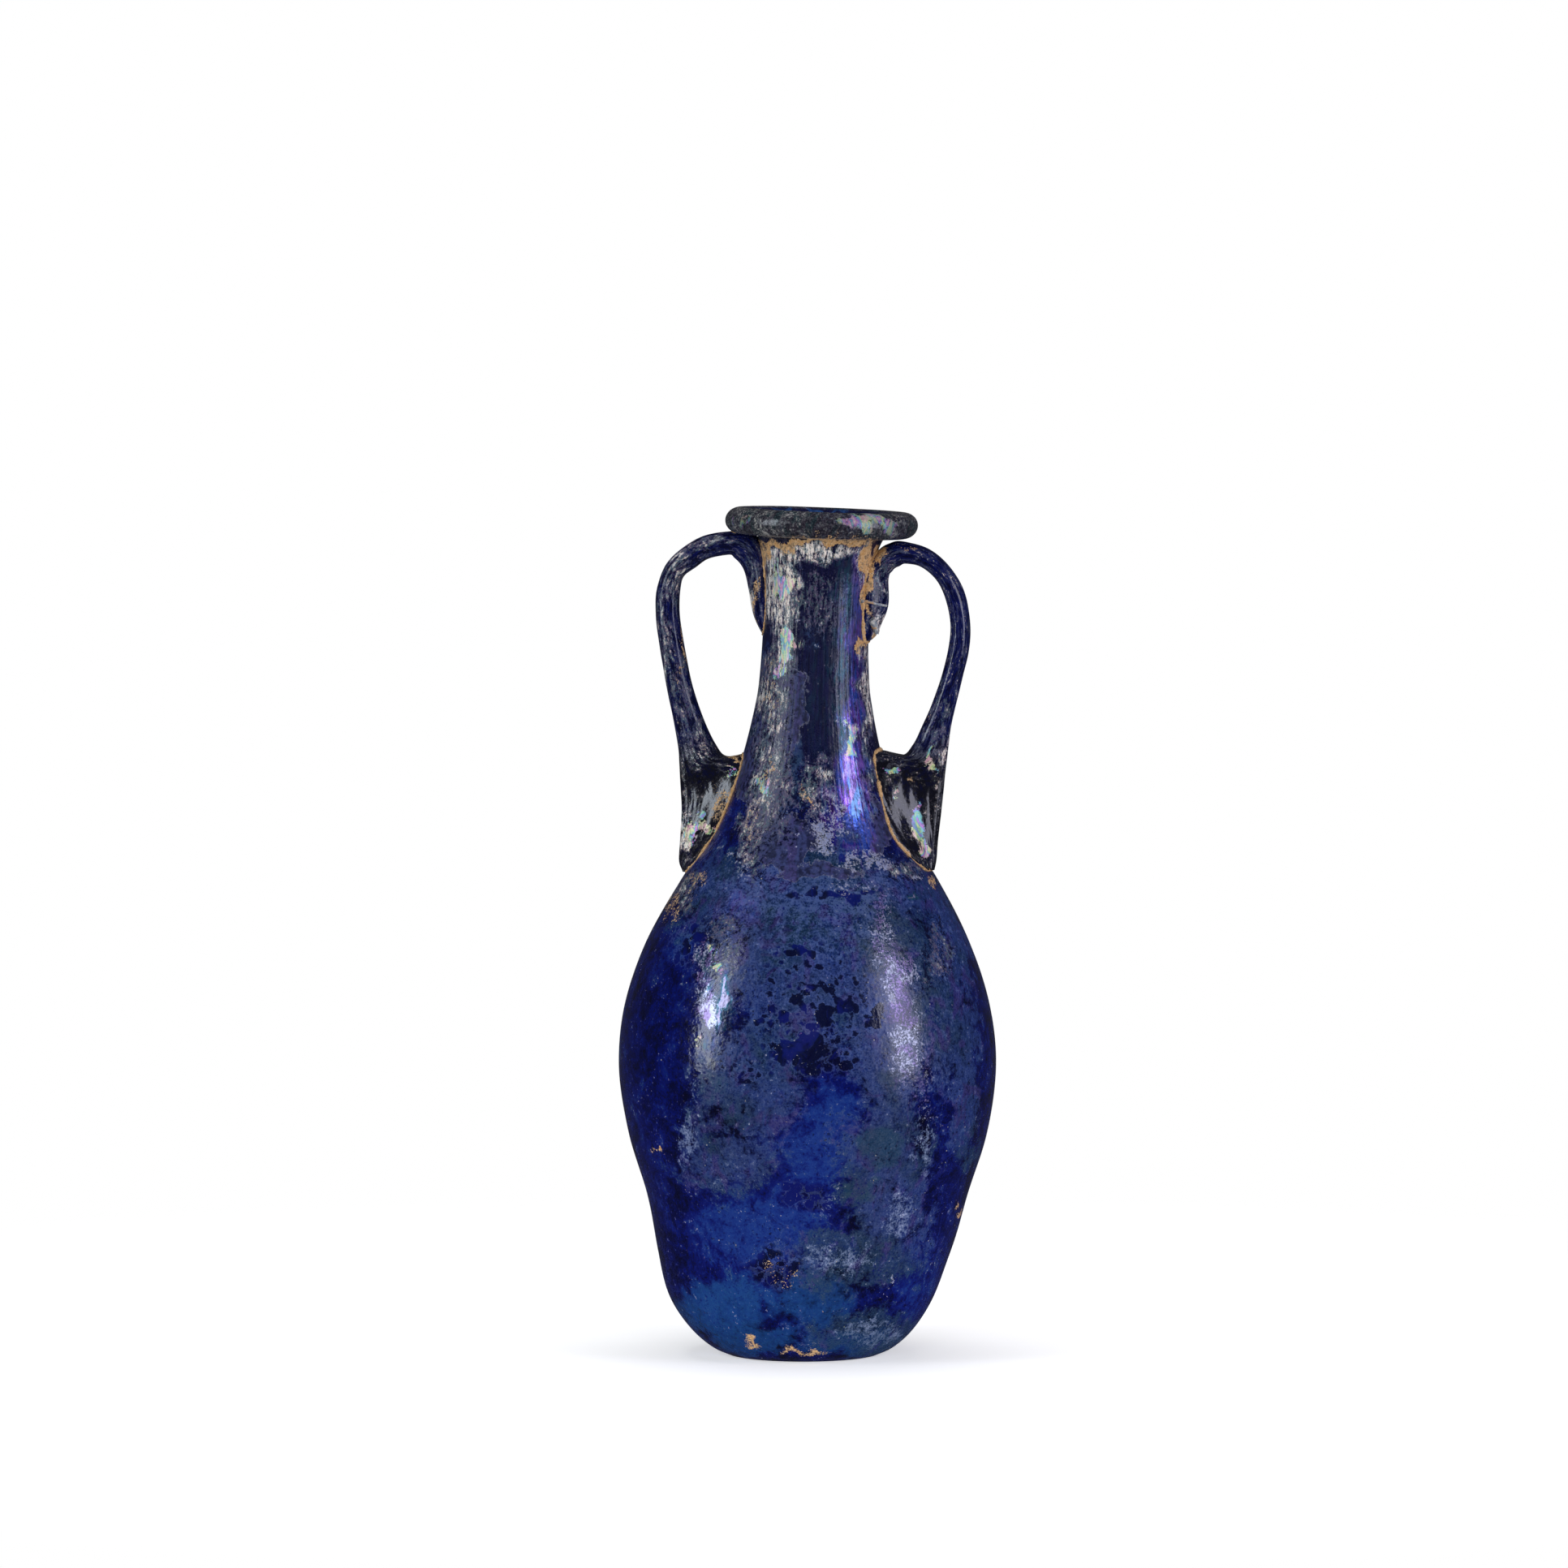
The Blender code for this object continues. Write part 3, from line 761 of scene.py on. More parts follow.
class VesselShape:
    """The vessel's rings, from its sizes."""

    def __init__(self, sizes):
        self.sizes = sizes
        self.neck_foot = sizes.belly_height + sizes.shoulder_rise
        self.neck_head = self.neck_foot + sizes.neck_length
        self.roll_underside = self.neck_head + sizes.flare_height
        self.roll_level = self.roll_underside + sizes.roll_height / 2
        self.roll_centre = sizes.rim_radius - sizes.roll_width / 2
        self.rim_top = self.roll_underside + sizes.roll_height
        places = [(share * self.rim_top, lean * sizes.lean) for share, lean in DRIFT]
        self.drift_curve = smooth_curve(places, DRIFT_STEPS)

    def drift(self, height):
        """How far the middle of the ring at that height stands off the axis along X."""
        return np.interp(height, self.drift_curve[:, 0], self.drift_curve[:, 1])

    def pole(self, height):
        return (self.drift(height), 0, height)

    def rings(self, profile, sides):
        """Points of every ring: rows of the profile, then places round it."""
        angles = np.arange(sides) * 2 * math.pi / sides
        radius, height = profile[:, :1], profile[:, 1:]
        across = radius * np.cos(angles)
        dip = math.tan(self.sizes.rim_dip) * smooth_step(height, self.neck_head, self.roll_underside)
        levels = height - dip * across
        return np.stack((self.drift(height) + across, radius * np.sin(angles), levels), axis=2)

    def roll_point(self, turn):
        radius = self.roll_centre + self.sizes.roll_width / 2 * math.cos(turn)
        return (radius, self.roll_level + self.sizes.roll_height / 2 * math.sin(turn))

    def side(self, steps):
        """The outer side from the foot up to where the neck meets the roll, as (radius, height) rows."""
        sizes = self.sizes
        points = [(sizes.foot_radius, 0.0)]
        for rise, swell in LOWER_OUTLINE:
            radius = sizes.foot_radius + swell * (sizes.belly_radius - sizes.foot_radius)
            points.append((radius, rise * sizes.belly_height))
        for rise, waist in UPPER_OUTLINE:
            radius = sizes.belly_radius - waist * (sizes.belly_radius - sizes.neck_radius)
            points.append((radius, sizes.belly_height + rise * sizes.shoulder_rise))
        points.append((sizes.neck_radius, self.neck_head))
        flare = sizes.neck_radius + FLARE_SHARE * (self.roll_centre - sizes.neck_radius)
        points.append((flare, self.roll_underside))
        points.append(self.roll_point(NECK_JOINT_TURN))
        return smooth_curve(points, steps)

    def roll(self, steps):
        turns = np.linspace(ROLL_START_TURN, ROLL_END_TURN, steps)
        return np.array([self.roll_point(turn) for turn in turns])

    def cavity(self, side, steps, knuckle_steps):
        """The inner side, from the mouth down to the middle of the floor."""
        sizes = self.sizes
        mouth = self.roll_centre - sizes.roll_width / 2
        bore = sizes.neck_radius - sizes.neck_wall
        slope = np.gradient(side[:, 0], side[:, 1])
        knuckle = sizes.floor_thickness + sizes.inner_knuckle
        rows = []
        for way_in, up in FUNNEL:
            rows.append((mouth - way_in * (mouth - bore), self.roll_underside + up * sizes.roll_height))
        funnel = smooth_curve([self.roll_point(ROLL_END_TURN), *rows], FUNNEL_STEPS)
        rows = [tuple(row) for row in funnel[1:]]
        heights = list(np.linspace(self.neck_foot, knuckle, steps))
        depths = np.linspace(0, KNUCKLE_END, knuckle_steps)[1:] ** KNUCKLE_CROWDING
        heights += list(sizes.floor_thickness + sizes.inner_knuckle * (1 - depths))
        for height in heights:
            share = smooth_step(height, sizes.belly_height, self.neck_foot)
            wall = sizes.body_wall + (sizes.neck_wall - sizes.body_wall) * share
            level = max(height, knuckle)
            outer = np.interp(level, side[:, 1], side[:, 0])
            steepness = np.interp(level, side[:, 1], slope)
            down = (level - height) / sizes.inner_knuckle
            rounding = (1 - down**KNUCKLE_SQUARENESS) ** (1 / KNUCKLE_SQUARENESS)
            rows.append(((outer - wall * math.hypot(1, steepness)) * rounding, height))
        return np.array(rows)

    def solid_block(self, offset, steps, sides):
        """The vessel as one full block, larger by the offset. The handles and the soil are fitted to it."""
        over_the_top = self.roll(BLOCK_ROLL_RINGS)
        over_the_top = over_the_top[over_the_top[:, 0] > self.roll_centre]
        outline = np.vstack((self.side(steps), over_the_top))
        along = np.gradient(outline, axis=0)
        along /= np.linalg.norm(along, axis=1)[:, None]
        block = outline + offset * np.column_stack((along[:, 1], -along[:, 0]))
        poles = [self.pole(block[row, 1]) for row in (0, -1)]
        return ringed("solid_block", self.rings(block, sides), *poles)


def ringed(name, rings, first_pole, last_pole):
    """A closed mesh object of rings, with a pole at each end."""
    rows, sides = rings.shape[:2]
    points = np.vstack((rings.reshape(-1, 3), first_pole, last_pole))
    index = np.arange(rows * sides).reshape(rows, sides)
    before = np.roll(index, 1, axis=1)
    quads = np.stack((index[:-1], index[1:], before[1:], before[:-1]), axis=2).reshape(-1, 4)
    first, last = rows * sides, rows * sides + 1
    faces = [tuple(quad) for quad in quads.tolist()]
    faces += [(first, a, b) for a, b in zip(index[0].tolist(), before[0].tolist())]
    faces += [(last, b, a) for a, b in zip(index[-1].tolist(), before[-1].tolist())]
    return made_object(name, points, faces)


def made_object(name, points, faces):
    """An object from points and faces, with its faces outwards, smooth."""
    data = bpy.data.meshes.new(name)
    data.from_pydata([tuple(point) for point in points], [], faces)
    data.update()
    corners = np.empty(len(data.vertices) * 3, np.float32)
    data.vertices.foreach_get("co", corners)
    if signed_volume(data, corners.reshape(-1, 3)) < 0:
        data.flip_normals()
    data.shade_smooth()
    made = bpy.data.objects.new(name, data)
    bpy.context.scene.collection.objects.link(made)
    return made


def signed_volume(data, points):
    data.calc_loop_triangles()
    corners = np.empty(len(data.loop_triangles) * 3, np.int32)
    data.loop_triangles.foreach_get("vertices", corners)
    a, b, c = (points[corners[i::3]] for i in range(3))
    return float(np.einsum("ij,ij->i", a, np.cross(b, c)).sum())


def vertex_arrays(obj):
    """The points and normals of a mesh object."""
    count = len(obj.data.vertices)
    points, normals = np.empty(count * 3, np.float32), np.empty(count * 3, np.float32)
    obj.data.vertices.foreach_get("co", points)
    obj.data.vertices.foreach_get("normal", normals)
    return points.reshape(-1, 3).astype(float), normals.reshape(-1, 3).astype(float)


def set_points(obj, points):
    obj.data.vertices.foreach_set("co", points.astype(np.float32).ravel())
    obj.data.update()


def set_values(obj, name, values):
    kind = "FLOAT_VECTOR" if values.ndim == 2 else "FLOAT"
    attribute = obj.data.attributes.new(name, kind, "POINT")
    attribute.data.foreach_set("vector" if values.ndim == 2 else "value", values.astype(np.float32).ravel())


def rumple(points, scale, seed=0.0):
    """Smooth noise between about -1 and 1 at each point."""
    return np.array([noise.noise(Vector(point) / scale + Vector((seed, 0, 0))) for point in points])


def surface_tree(obj):
    return BVHTree.FromObject(obj, bpy.context.evaluated_depsgraph_get())


def evaluated_copy(obj, name):
    """A plain mesh object of what the object's modifiers make. The object itself is removed."""
    graph = bpy.context.evaluated_depsgraph_get()
    data = bpy.data.meshes.new_from_object(obj.evaluated_get(graph))
    bpy.data.objects.remove(obj)
    data.name = name
    made = bpy.data.objects.new(name, data)
    bpy.context.scene.collection.objects.link(made)
    return made


class PhotoCamera:
    """The photograph's camera, and where a point lies in the photograph."""

    def __init__(self, stage):
        aim_height = (FLOOR_PIXEL[1] - PHOTO_SIDE / 2) * AIM_PIXEL
        offset = (PHOTO_SIDE / 2 - FLOOR_PIXEL[0]) * PIXEL
        self.place = np.array((offset, -stage.camera_distance, stage.camera_height))
        gaze = np.array((offset, 0.0, aim_height)) - self.place
        self.focal = np.linalg.norm(gaze) / PIXEL
        self.forward = gaze / np.linalg.norm(gaze)
        self.right = np.array((1.0, 0.0, 0.0))
        self.up = np.cross(self.right, self.forward)

    def pixels(self, points):
        rays = points - self.place
        deep = rays @ self.forward
        across = PHOTO_SIDE / 2 + self.focal * (rays @ self.right) / deep
        return np.column_stack((across, PHOTO_SIDE / 2 - self.focal * (rays @ self.up) / deep))

    def landing(self, surfaces, x, y):
        """Where the sight line through a pixel first meets one of the surfaces, and the normal there."""
        across, down = (x - PHOTO_SIDE / 2) / self.focal, (y - PHOTO_SIDE / 2) / self.focal
        ray = Vector(self.forward + across * self.right - down * self.up).normalized()
        hits = [surface.ray_cast(Vector(self.place), ray) for surface in surfaces]
        hits = [hit for hit in hits if hit[0] is not None]
        if not hits:
            raise RuntimeError(f"nothing lies behind the pixel {x:.0f}, {y:.0f}")
        place, normal, _, _ = min(hits, key=lambda hit: hit[3])
        return place, normal


def photo_camera():
    return PhotoCamera(bpy.context.scene.amphora_stage)


# The edges of the painted finishes wander: the size of the waves and how many pixels they move, and a seed
# for the way across and one for the way down
EDGE_WAVES = ((5 * MM, 13), (2.2 * MM, 8))
EDGE_SEEDS = (20.0, 40.0)

# How far the wander moves the border between front and back, and where that border starts and ends: the
# normal's share towards the camera
BORDER_WANDER = 0.012
BACK, FRONT = -0.2, 0.2

# A spot is full up to this share of its half size, and ends at this one
SPOT_FULL, SPOT_END = 0.5, 1.5


def paint_finishes(obj, finishes, base, seen=1.0):
    """Writes how strongly each finish covers each point: as photographed on the front, by chance behind."""
    points, normals = vertex_arrays(obj)
    camera = photo_camera()
    wander = []
    for seed in EDGE_SEEDS:
        wander.append(sum(rumple(points, size, seed) * moved for size, moved in EDGE_WAVES))
    pixels = camera.pixels(points) + np.column_stack(wander)
    facing = smooth_step(-normals @ camera.forward + wander[0] * BORDER_WANDER, BACK, FRONT) * seen
    for number, (name, spots) in enumerate(finishes.items()):
        front = np.zeros(len(points))
        for x, y, half_width, half_height, strength in spots:
            away = np.hypot((pixels[:, 0] - x) / half_width, (pixels[:, 1] - y) / half_height)
            front = np.maximum(front, strength * (1 - smooth_step(away, SPOT_FULL, SPOT_END)))
        behind = base(name, points, number)
        set_values(obj, name, front * facing + behind * (1 - facing))


# Finishes


# Hues along a ramp: mother-of-pearl, which in places also paints highlights, thick stained flecks, the thin
# film, the body's glass and the rim's dull film
PEARL_AND_GLINT_STOPS = (
    (0.0, (0.8, 0.4, 0.5)),
    (0.2, (0.88, 0.78, 0.6)),
    (0.38, (0.7, 0.78, 0.32)),
    (0.5, (0.26, 0.64, 0.44)),
    (0.62, (0.18, 0.52, 0.68)),
    (0.75, (0.36, 0.22, 0.7)),
    (0.87, (0.76, 0.28, 0.56)),
    (1.0, (0.82, 0.76, 0.76)),
)
FLECK_STOPS = (
    (0.0, (0.24, 0.3, 0.38)),
    (0.25, (0.68, 0.65, 0.6)),
    (0.38, (0.46, 0.24, 0.38)),
    (0.48, (0.85, 0.77, 0.66)),
    (0.6, (0.6, 0.38, 0.16)),
    (0.72, (0.1, 0.3, 0.3)),
    (0.85, (0.36, 0.38, 0.46)),
    (1.0, (0.7, 0.67, 0.64)),
)
FILM_STOPS = (
    (0.0, (0.035, 0.05, 0.13)),
    (0.3, (0.085, 0.09, 0.13)),
    (0.45, (0.11, 0.055, 0.15)),
    (0.6, (0.065, 0.07, 0.1)),
    (0.75, (0.025, 0.09, 0.12)),
    (1.0, (0.13, 0.12, 0.13)),
)
GLASS_STOPS = (
    (0.26, (0.0008, 0.0012, 0.012)),
    (0.42, (0.0008, 0.0025, 0.055)),
    (0.54, (0.0013, 0.005, 0.105)),
    (0.68, (0.003, 0.013, 0.15)),
    (0.84, (0.009, 0.032, 0.2)),
)
RIM_STOPS = (
    (0.0, (0.018, 0.04, 0.045)),
    (0.4, (0.026, 0.027, 0.034)),
    (0.7, (0.04, 0.03, 0.042)),
    (1.0, (0.03, 0.034, 0.05)),
)

# The glass where it shows: drawn lines on the neck, holes and specks in the film, and pits
NECK_DARK, NECK_BLUE = (0.001, 0.0012, 0.014), (0.006, 0.007, 0.05)
HOLE = (0.003, 0.004, 0.025)
SPECK = (0.001, 0.0015, 0.02)
PIT_DARK, PIT_BLUE = (0.001, 0.0015, 0.018), (0.0015, 0.005, 0.1)
ROD_DARK = (0.0012, 0.0015, 0.016)

# Films: the casts of the haze, the grey film's gaps, second tone and torn edge, the clouds, the thin
# flakes, and the handles' film and lines on the rod and on the pad
GREEN_HAZE, VIOLET_HAZE = (0.012, 0.042, 0.085), (0.042, 0.032, 0.15)
FILM_GAP, FILM_VIOLET, FILM_EDGE = (0.005, 0.006, 0.03), (0.045, 0.038, 0.145), (0.3, 0.31, 0.38)
CLOUD = (0.2, 0.26, 0.42)
THIN_FLAKE = (0.12, 0.14, 0.28)
ROD_FILM, PAD_FILM = (0.024, 0.03, 0.085), (0.026, 0.026, 0.034)
ROD_LINE, PAD_LINE = (0.08, 0.1, 0.18), (0.09, 0.09, 0.1)

# Second hues of the violet and the blue-green sheen, of the lilac film that partly paints highlights, and of
# their brightest streaks
SHEEN_BLUE, SHEEN_NAVY, SHEEN_PURPLE = (0.05, 0.13, 0.72), (0.025, 0.03, 0.11), (0.3, 0.2, 0.5)
STREAK_PINK, STREAK_BLUE = (0.5, 0.4, 0.66), (0.2, 0.42, 0.6)

# Wear on the rim, pale dots, the soil's clots, crust and dark edge, and the trail's glass
RIM_WORN, RIM_BARE, RIM_DARK = (0.1, 0.11, 0.115), (0.42, 0.4, 0.37), (0.006, 0.006, 0.012)
DOT = (0.5, 0.48, 0.46)
SOIL_CLOT, SOIL_EDGE = (0.16, 0.1, 0.06), (0.03, 0.025, 0.03)
PACKED_CLOT, PACKED_CRUST = (0.17, 0.11, 0.065), (0.55, 0.52, 0.48)
TRAIL_DARK, TRAIL_PALE = (0.2, 0.24, 0.3), (0.58, 0.56, 0.52)


# The patterns that the finishes share. On places: scale per millimetre, detail, roughness and distortion.
# In streaks: scale across and along the drawn glass, then the same
PLACE_PATTERNS = {
    "broad": (0.05, 3, 0.6, 0.0),
    "cloud": (0.13, 7, 0.7, 0.7),
    "ragged": (0.45, 6, 0.74, 0.5),
    "dents": (0.8, 1, 0.5, 0.0),
    "mottle": (1.1, 4, 0.8, 0.0),
    "grit": (1.9, 1, 0.5, 0.0),
    "fleck": (2.6, 3, 0.8, 0.0),
}
STREAK_PATTERNS = {
    "hue": (0.45, 0.14, 3, 0.65, 1.2),
    "torn": (0.7, 0.3, 7, 0.76, 0.4),
    "chips": (1.05, 0.45, 6, 0.82, 0.0),
    "lines": (1.3, 0.05, 1, 0.5, 0.0),
    "hairs": (3.4, 0.12, 4, 0.8, 0.0),
}


class Textures:
    """The shared patterns as values between 0 and 1, each under its name."""

    def __init__(self, nodes):
        self.place = nodes.place()
        drawn = nodes.direction("along")
        for name, settings in PLACE_PATTERNS.items():
            setattr(self, name, nodes.noise(self.place, *settings))
        for name, (across, along, *settings) in STREAK_PATTERNS.items():
            streaked = nodes.scaled(drawn, (across, across, along))
            setattr(self, name, nodes.noise(streaked, 1.0, *settings))

    def mixed(self, **weights):
        """The named patterns, each times its weight, added up."""
        parts = [getattr(self, name) * weight for name, weight in weights.items()]
        return sum(parts[1:], parts[0])

    def wander(self, **weights):
        """The same sum, moved down to lie about 0, because each pattern lies about a half."""
        return self.mixed(**weights) - sum(weights.values()) / 2


def lay_glass(finish, t, colours):
    """The bare glass: mottled blues on the body, deep navy with fine drawn lines on the neck. Its brighter
    royal-blue and lightest blue patches are partly painted light coming through the glass.
    """
    nodes = finish.nodes
    body, royal, azure = (nodes.attribute(name) for name in ("body", "royal", "azure"))
    shade = royal * 0.28 + t.wander(cloud=1.0, ragged=0.9, fleck=0.5) + 0.47
    on_neck = nodes.blend(t.hairs.between(0.3, 0.7), NECK_DARK, NECK_BLUE)
    on_body = (body + t.wander(cloud=1.0)).between(0.1, 0.7)
    finish.colour = nodes.blend(on_body, on_neck, nodes.ramp(shade, GLASS_STOPS))
    finish.roughness = t.mottle.between(0.3, 0.8) * 0.08 + 0.12 + (1 - body) * 0.16
    # Clean royal-blue patches: bare glass whose brighter blue is partly painted light coming through it
    clean_and_glow = royal * 0.85 + t.wander(cloud=1.6, ragged=1.5)
    patchy = t.wander(ragged=1.2, mottle=1.8, fleck=1.2) + 0.5
    finish.lay(clean_and_glow.between(0.35, 0.7) * patchy.kept(), colours.royal)
    # The lightest blue: painted light coming through the glass
    light = azure * 0.95 + t.wander(cloud=1.3, ragged=1.3)
    patchy = t.wander(mottle=1.6) + 0.65
    finish.lay(light.between(0.3, 0.8) * patchy.kept(), colours.azure)


def lay_haze(finish, t, colours):
    """The thin film over most of the body, greener or more violet in places, and full of fine specks."""
    nodes = finish.nodes
    body = nodes.attribute("body")
    level = nodes.attribute("haze") * 0.8 + t.wander(cloud=1.7, ragged=1.7, mottle=0.8)
    uneven = t.wander(ragged=1.1, mottle=1.1, fleck=0.9) + 0.68
    greenish = nodes.blend(t.broad.between(0.42, 0.56), colours.haze, GREEN_HAZE)
    violet = (t.hue - t.broad * 0.3).between(0.38, 0.5)
    tint = nodes.blend(violet * 0.8, greenish, VIOLET_HAZE)
    rough = t.mixed(fleck=0.6, mottle=0.4).between(0.42, 0.58) * 0.3 + 0.27
    finish.lay(level.between(0.15, 0.6) * uneven.kept(), tint, strength=0.9, roughness=rough)
    pale = level * 0.5 + t.wander(ragged=1.3, mottle=0.9, fleck=1.1)
    finish.lay(pale.between(0.5, 0.9) * body, colours.haze_pale, strength=0.45, roughness=rough)
    moss = nodes.attribute("moss") * 0.8 + t.wander(cloud=1.5, ragged=1.5)
    finish.lay(moss.between(0.3, 0.8), colours.moss, strength=0.6)
    specks = t.mixed(fleck=0.55, ragged=0.45)
    finish.lay(specks.between(0.44, 0.38), SPECK, strength=0.55, roughness=0.16)
    finish.lay(specks.between(0.63, 0.67) * body, colours.haze_pale, strength=0.35)


def lay_pits(finish, t, colours):
    """Round pits and larger windows where the film is lost and the glass shows, each with a paler edge."""
    nodes = finish.nodes
    pits, windows = nodes.attribute("pits"), nodes.attribute("windows")
    cells = nodes.cells(nodes.wavering(t.place, 0.9), 0.55)
    cells = cells - windows * 0.6 - t.wander(ragged=1.5, fleck=0.7)
    pitted = pits.larger(windows).between(0.1, 0.5)
    finish.lay(cells.near(0.38, 0.14) * pitted, colours.haze_pale, strength=0.3, roughness=0.3)
    deep = nodes.blend((t.broad + t.hue * 0.5).between(0.7, 0.8), PIT_DARK, PIT_BLUE)
    finish.lay(cells.between(0.31, 0.22) * pitted, deep, strength=0.92, roughness=0.15)
    pinholes = nodes.cells(nodes.wavering(t.place, 1.3), 1.1) - t.wander(fleck=0.3)
    clustered = t.cloud.between(0.47, 0.54) * nodes.attribute("body")
    finish.lay(pinholes.between(0.26, 0.18) * clustered, deep, strength=0.75, roughness=0.15)


def lay_film(finish, t, colours):
    """The grey film, streaked and with gaps, and pale along its torn edge."""
    nodes = finish.nodes
    level = nodes.attribute("film") * 0.9 + t.wander(torn=0.9, ragged=0.5, chips=0.4)
    streaks = t.mixed(lines=0.15, chips=0.4, mottle=0.45).between(0.44, 0.55)
    slate = nodes.blend(t.hue.between(0.42, 0.58), colours.film, FILM_VIOLET)
    shade = nodes.blend(streaks, FILM_GAP, slate)
    finish.lay(level.between(0.45, 0.48), shade, strength=0.88, roughness=t.fleck * 0.4 + 0.3)
    finish.lay(level.near(0.465, 0.02), FILM_EDGE, strength=0.7, roughness=0.4)


def lay_silver(finish, t, amount, veil, colours):
    """Silvery film in flecks and streaks: a grey veil where thin, pale and stained where it stands off."""
    nodes = finish.nodes
    level = amount * 0.75 + t.wander(torn=1.3, chips=2.2, fleck=0.9)
    present = amount.between(0.05, 0.2)
    tint = (t.hue + t.wander(mottle=1.1)).between(0.25, 0.75)
    thin = level.between(0.46, 0.49) * present
    finish.lay(thin, nodes.ramp(tint, FILM_STOPS), strength=veil, roughness=0.55)
    stain = (t.mottle + t.wander(hue=1.0, chips=0.5)).between(0.32, 0.68)
    thick = level.between(0.79, 0.82) * present
    finish.lay(thick, nodes.ramp(stain, FLECK_STOPS), strength=0.92, roughness=0.6)
    finish.lay(level.between(0.98, 1.01) * present, colours.silver, roughness=0.6)
    holes = t.mixed(mottle=0.5, chips=0.5).between(0.48, 0.455)
    finish.lay(holes * present, HOLE, strength=0.92, roughness=0.15)


def lay_clouds(finish, t, colours):
    """Pale clouds low on the body, with a few flakes in them."""
    level = finish.nodes.attribute("clouds") * 0.5 + t.wander(ragged=1.8, mottle=1.2, fleck=1.4)
    finish.lay(level.between(0.42, 0.6), CLOUD, strength=0.42, roughness=0.35)
    finish.lay(level.between(0.75, 0.82), colours.flake, strength=0.6, roughness=0.5)


def lay_sheen(finish, t, colours):
    """Violet, teal and lilac colours that the film takes on where it is thinnest. The pale lilac is laid
    where the highlights fall, partly as a painted highlight.
    """
    nodes = finish.nodes
    drawn = t.mixed(hairs=0.7, chips=0.3).between(0.42, 0.58)
    turn = t.hue.between(0.45, 0.55)
    streak = nodes.blend(turn, STREAK_PINK, STREAK_BLUE)
    for name, first, second, roughness in (
        ("violet", colours.violet, SHEEN_BLUE, 0.24),
        ("teal", colours.teal, SHEEN_NAVY, 0.26),
    ):
        amount = nodes.attribute(name)
        shown = amount * (drawn * 0.85 + 0.12) + t.wander(chips=1.0) * amount.between(0.1, 0.5)
        hues = nodes.blend((t.hue + t.wander(hairs=0.4)).between(0.42, 0.58), first, second)
        finish.lay(shown.kept(), hues, roughness=roughness, metallic=0.8)
        bright = amount * 0.7 + t.wander(chips=1.6, hairs=1.0)
        finish.lay(bright.between(0.78, 0.9), streak, strength=0.6, roughness=0.3, metallic=0.3)
    # Pale lilac film laid where the highlights fall: partly a painted highlight
    lilac = nodes.attribute("lilac") * 0.7 + t.wander(mottle=1.6, fleck=2.4)
    hues = nodes.blend(turn, colours.lilac, SHEEN_PURPLE)
    finish.lay(lilac.between(0.44, 0.84), hues, strength=0.75, roughness=0.16, metallic=0.3)


def lay_flakes(finish, t, colours):
    """Loose flakes of the film, pale along their edges."""
    nodes = finish.nodes
    level = nodes.attribute("flakes") * 0.55 + t.wander(ragged=1.5, mottle=1.7, fleck=1.2)
    thick = nodes.blend(t.fleck.between(0.4, 0.6), THIN_FLAKE, colours.flake)
    finish.lay(level.between(0.5, 0.53), thick, strength=0.7, roughness=0.4)
    finish.lay(level.near(0.51, 0.035), colours.silver, strength=0.7, roughness=0.5)


def lay_pearl_and_glint(finish, t, amount):
    """Mother-of-pearl: a shining film whose hue wanders, broken up by fine flecks. Where it lies on the
    highlights it is partly a painted highlight.
    """
    hue = t.hue.between(0.3, 0.7) + t.wander(mottle=0.7, hairs=0.4)
    level = amount * 0.85 + t.wander(torn=1.2, chips=1.8, fleck=0.8)
    shown = level.between(0.46, 0.54) * (t.fleck + 0.3)
    shine = finish.nodes.ramp(hue, PEARL_AND_GLINT_STOPS)
    finish.lay(shown.kept(), shine, roughness=t.fleck * 0.5 + 0.15, metallic=0.25)


def lay_rim(finish, t, rim):
    """The rim's dull film: thinner over its mother-of-pearl, with paler worn patches and darker patches laid
    by noise.
    """
    nodes = finish.nodes
    pearl = nodes.attribute("pearl")
    dull = nodes.ramp((t.hue + t.wander(mottle=0.6)).between(0.3, 0.7), RIM_STOPS)
    finish.lay(rim * (0.95 - pearl * t.mottle * 1.3), dull, roughness=t.mottle * 0.3 + 0.12)
    wear = t.wander(mottle=1.4, fleck=1.7, cloud=1.2) + pearl * 0.1
    finish.lay(rim * wear.between(0.06, 0.14), RIM_WORN, strength=0.6, roughness=0.3)
    finish.lay(rim * wear.between(0.27, 0.32), RIM_BARE, strength=0.8, roughness=0.5)
    finish.lay(rim * wear.between(-0.1, -0.16), RIM_DARK, strength=0.75, roughness=0.15)


def lay_soil(finish, t, amount, colours):
    """Ochre soil, clotted and lighter where it has dried, with crumbs about it."""
    level = amount * 0.9 + t.wander(ragged=0.8, chips=1.6, fleck=1.8)
    shown = level.between(0.58, 0.61)
    dried = t.mixed(fleck=0.5, mottle=0.5).between(0.42, 0.6)
    earth = finish.nodes.blend(dried, colours.soil, colours.soil_pale)
    finish.lay(shown, earth, roughness=0.92)
    finish.lay(shown * t.mottle.between(0.53, 0.58), SOIL_CLOT, strength=0.85, roughness=0.92)
    finish.lay(level.near(0.57, 0.03), SOIL_EDGE, strength=0.5, roughness=0.7)


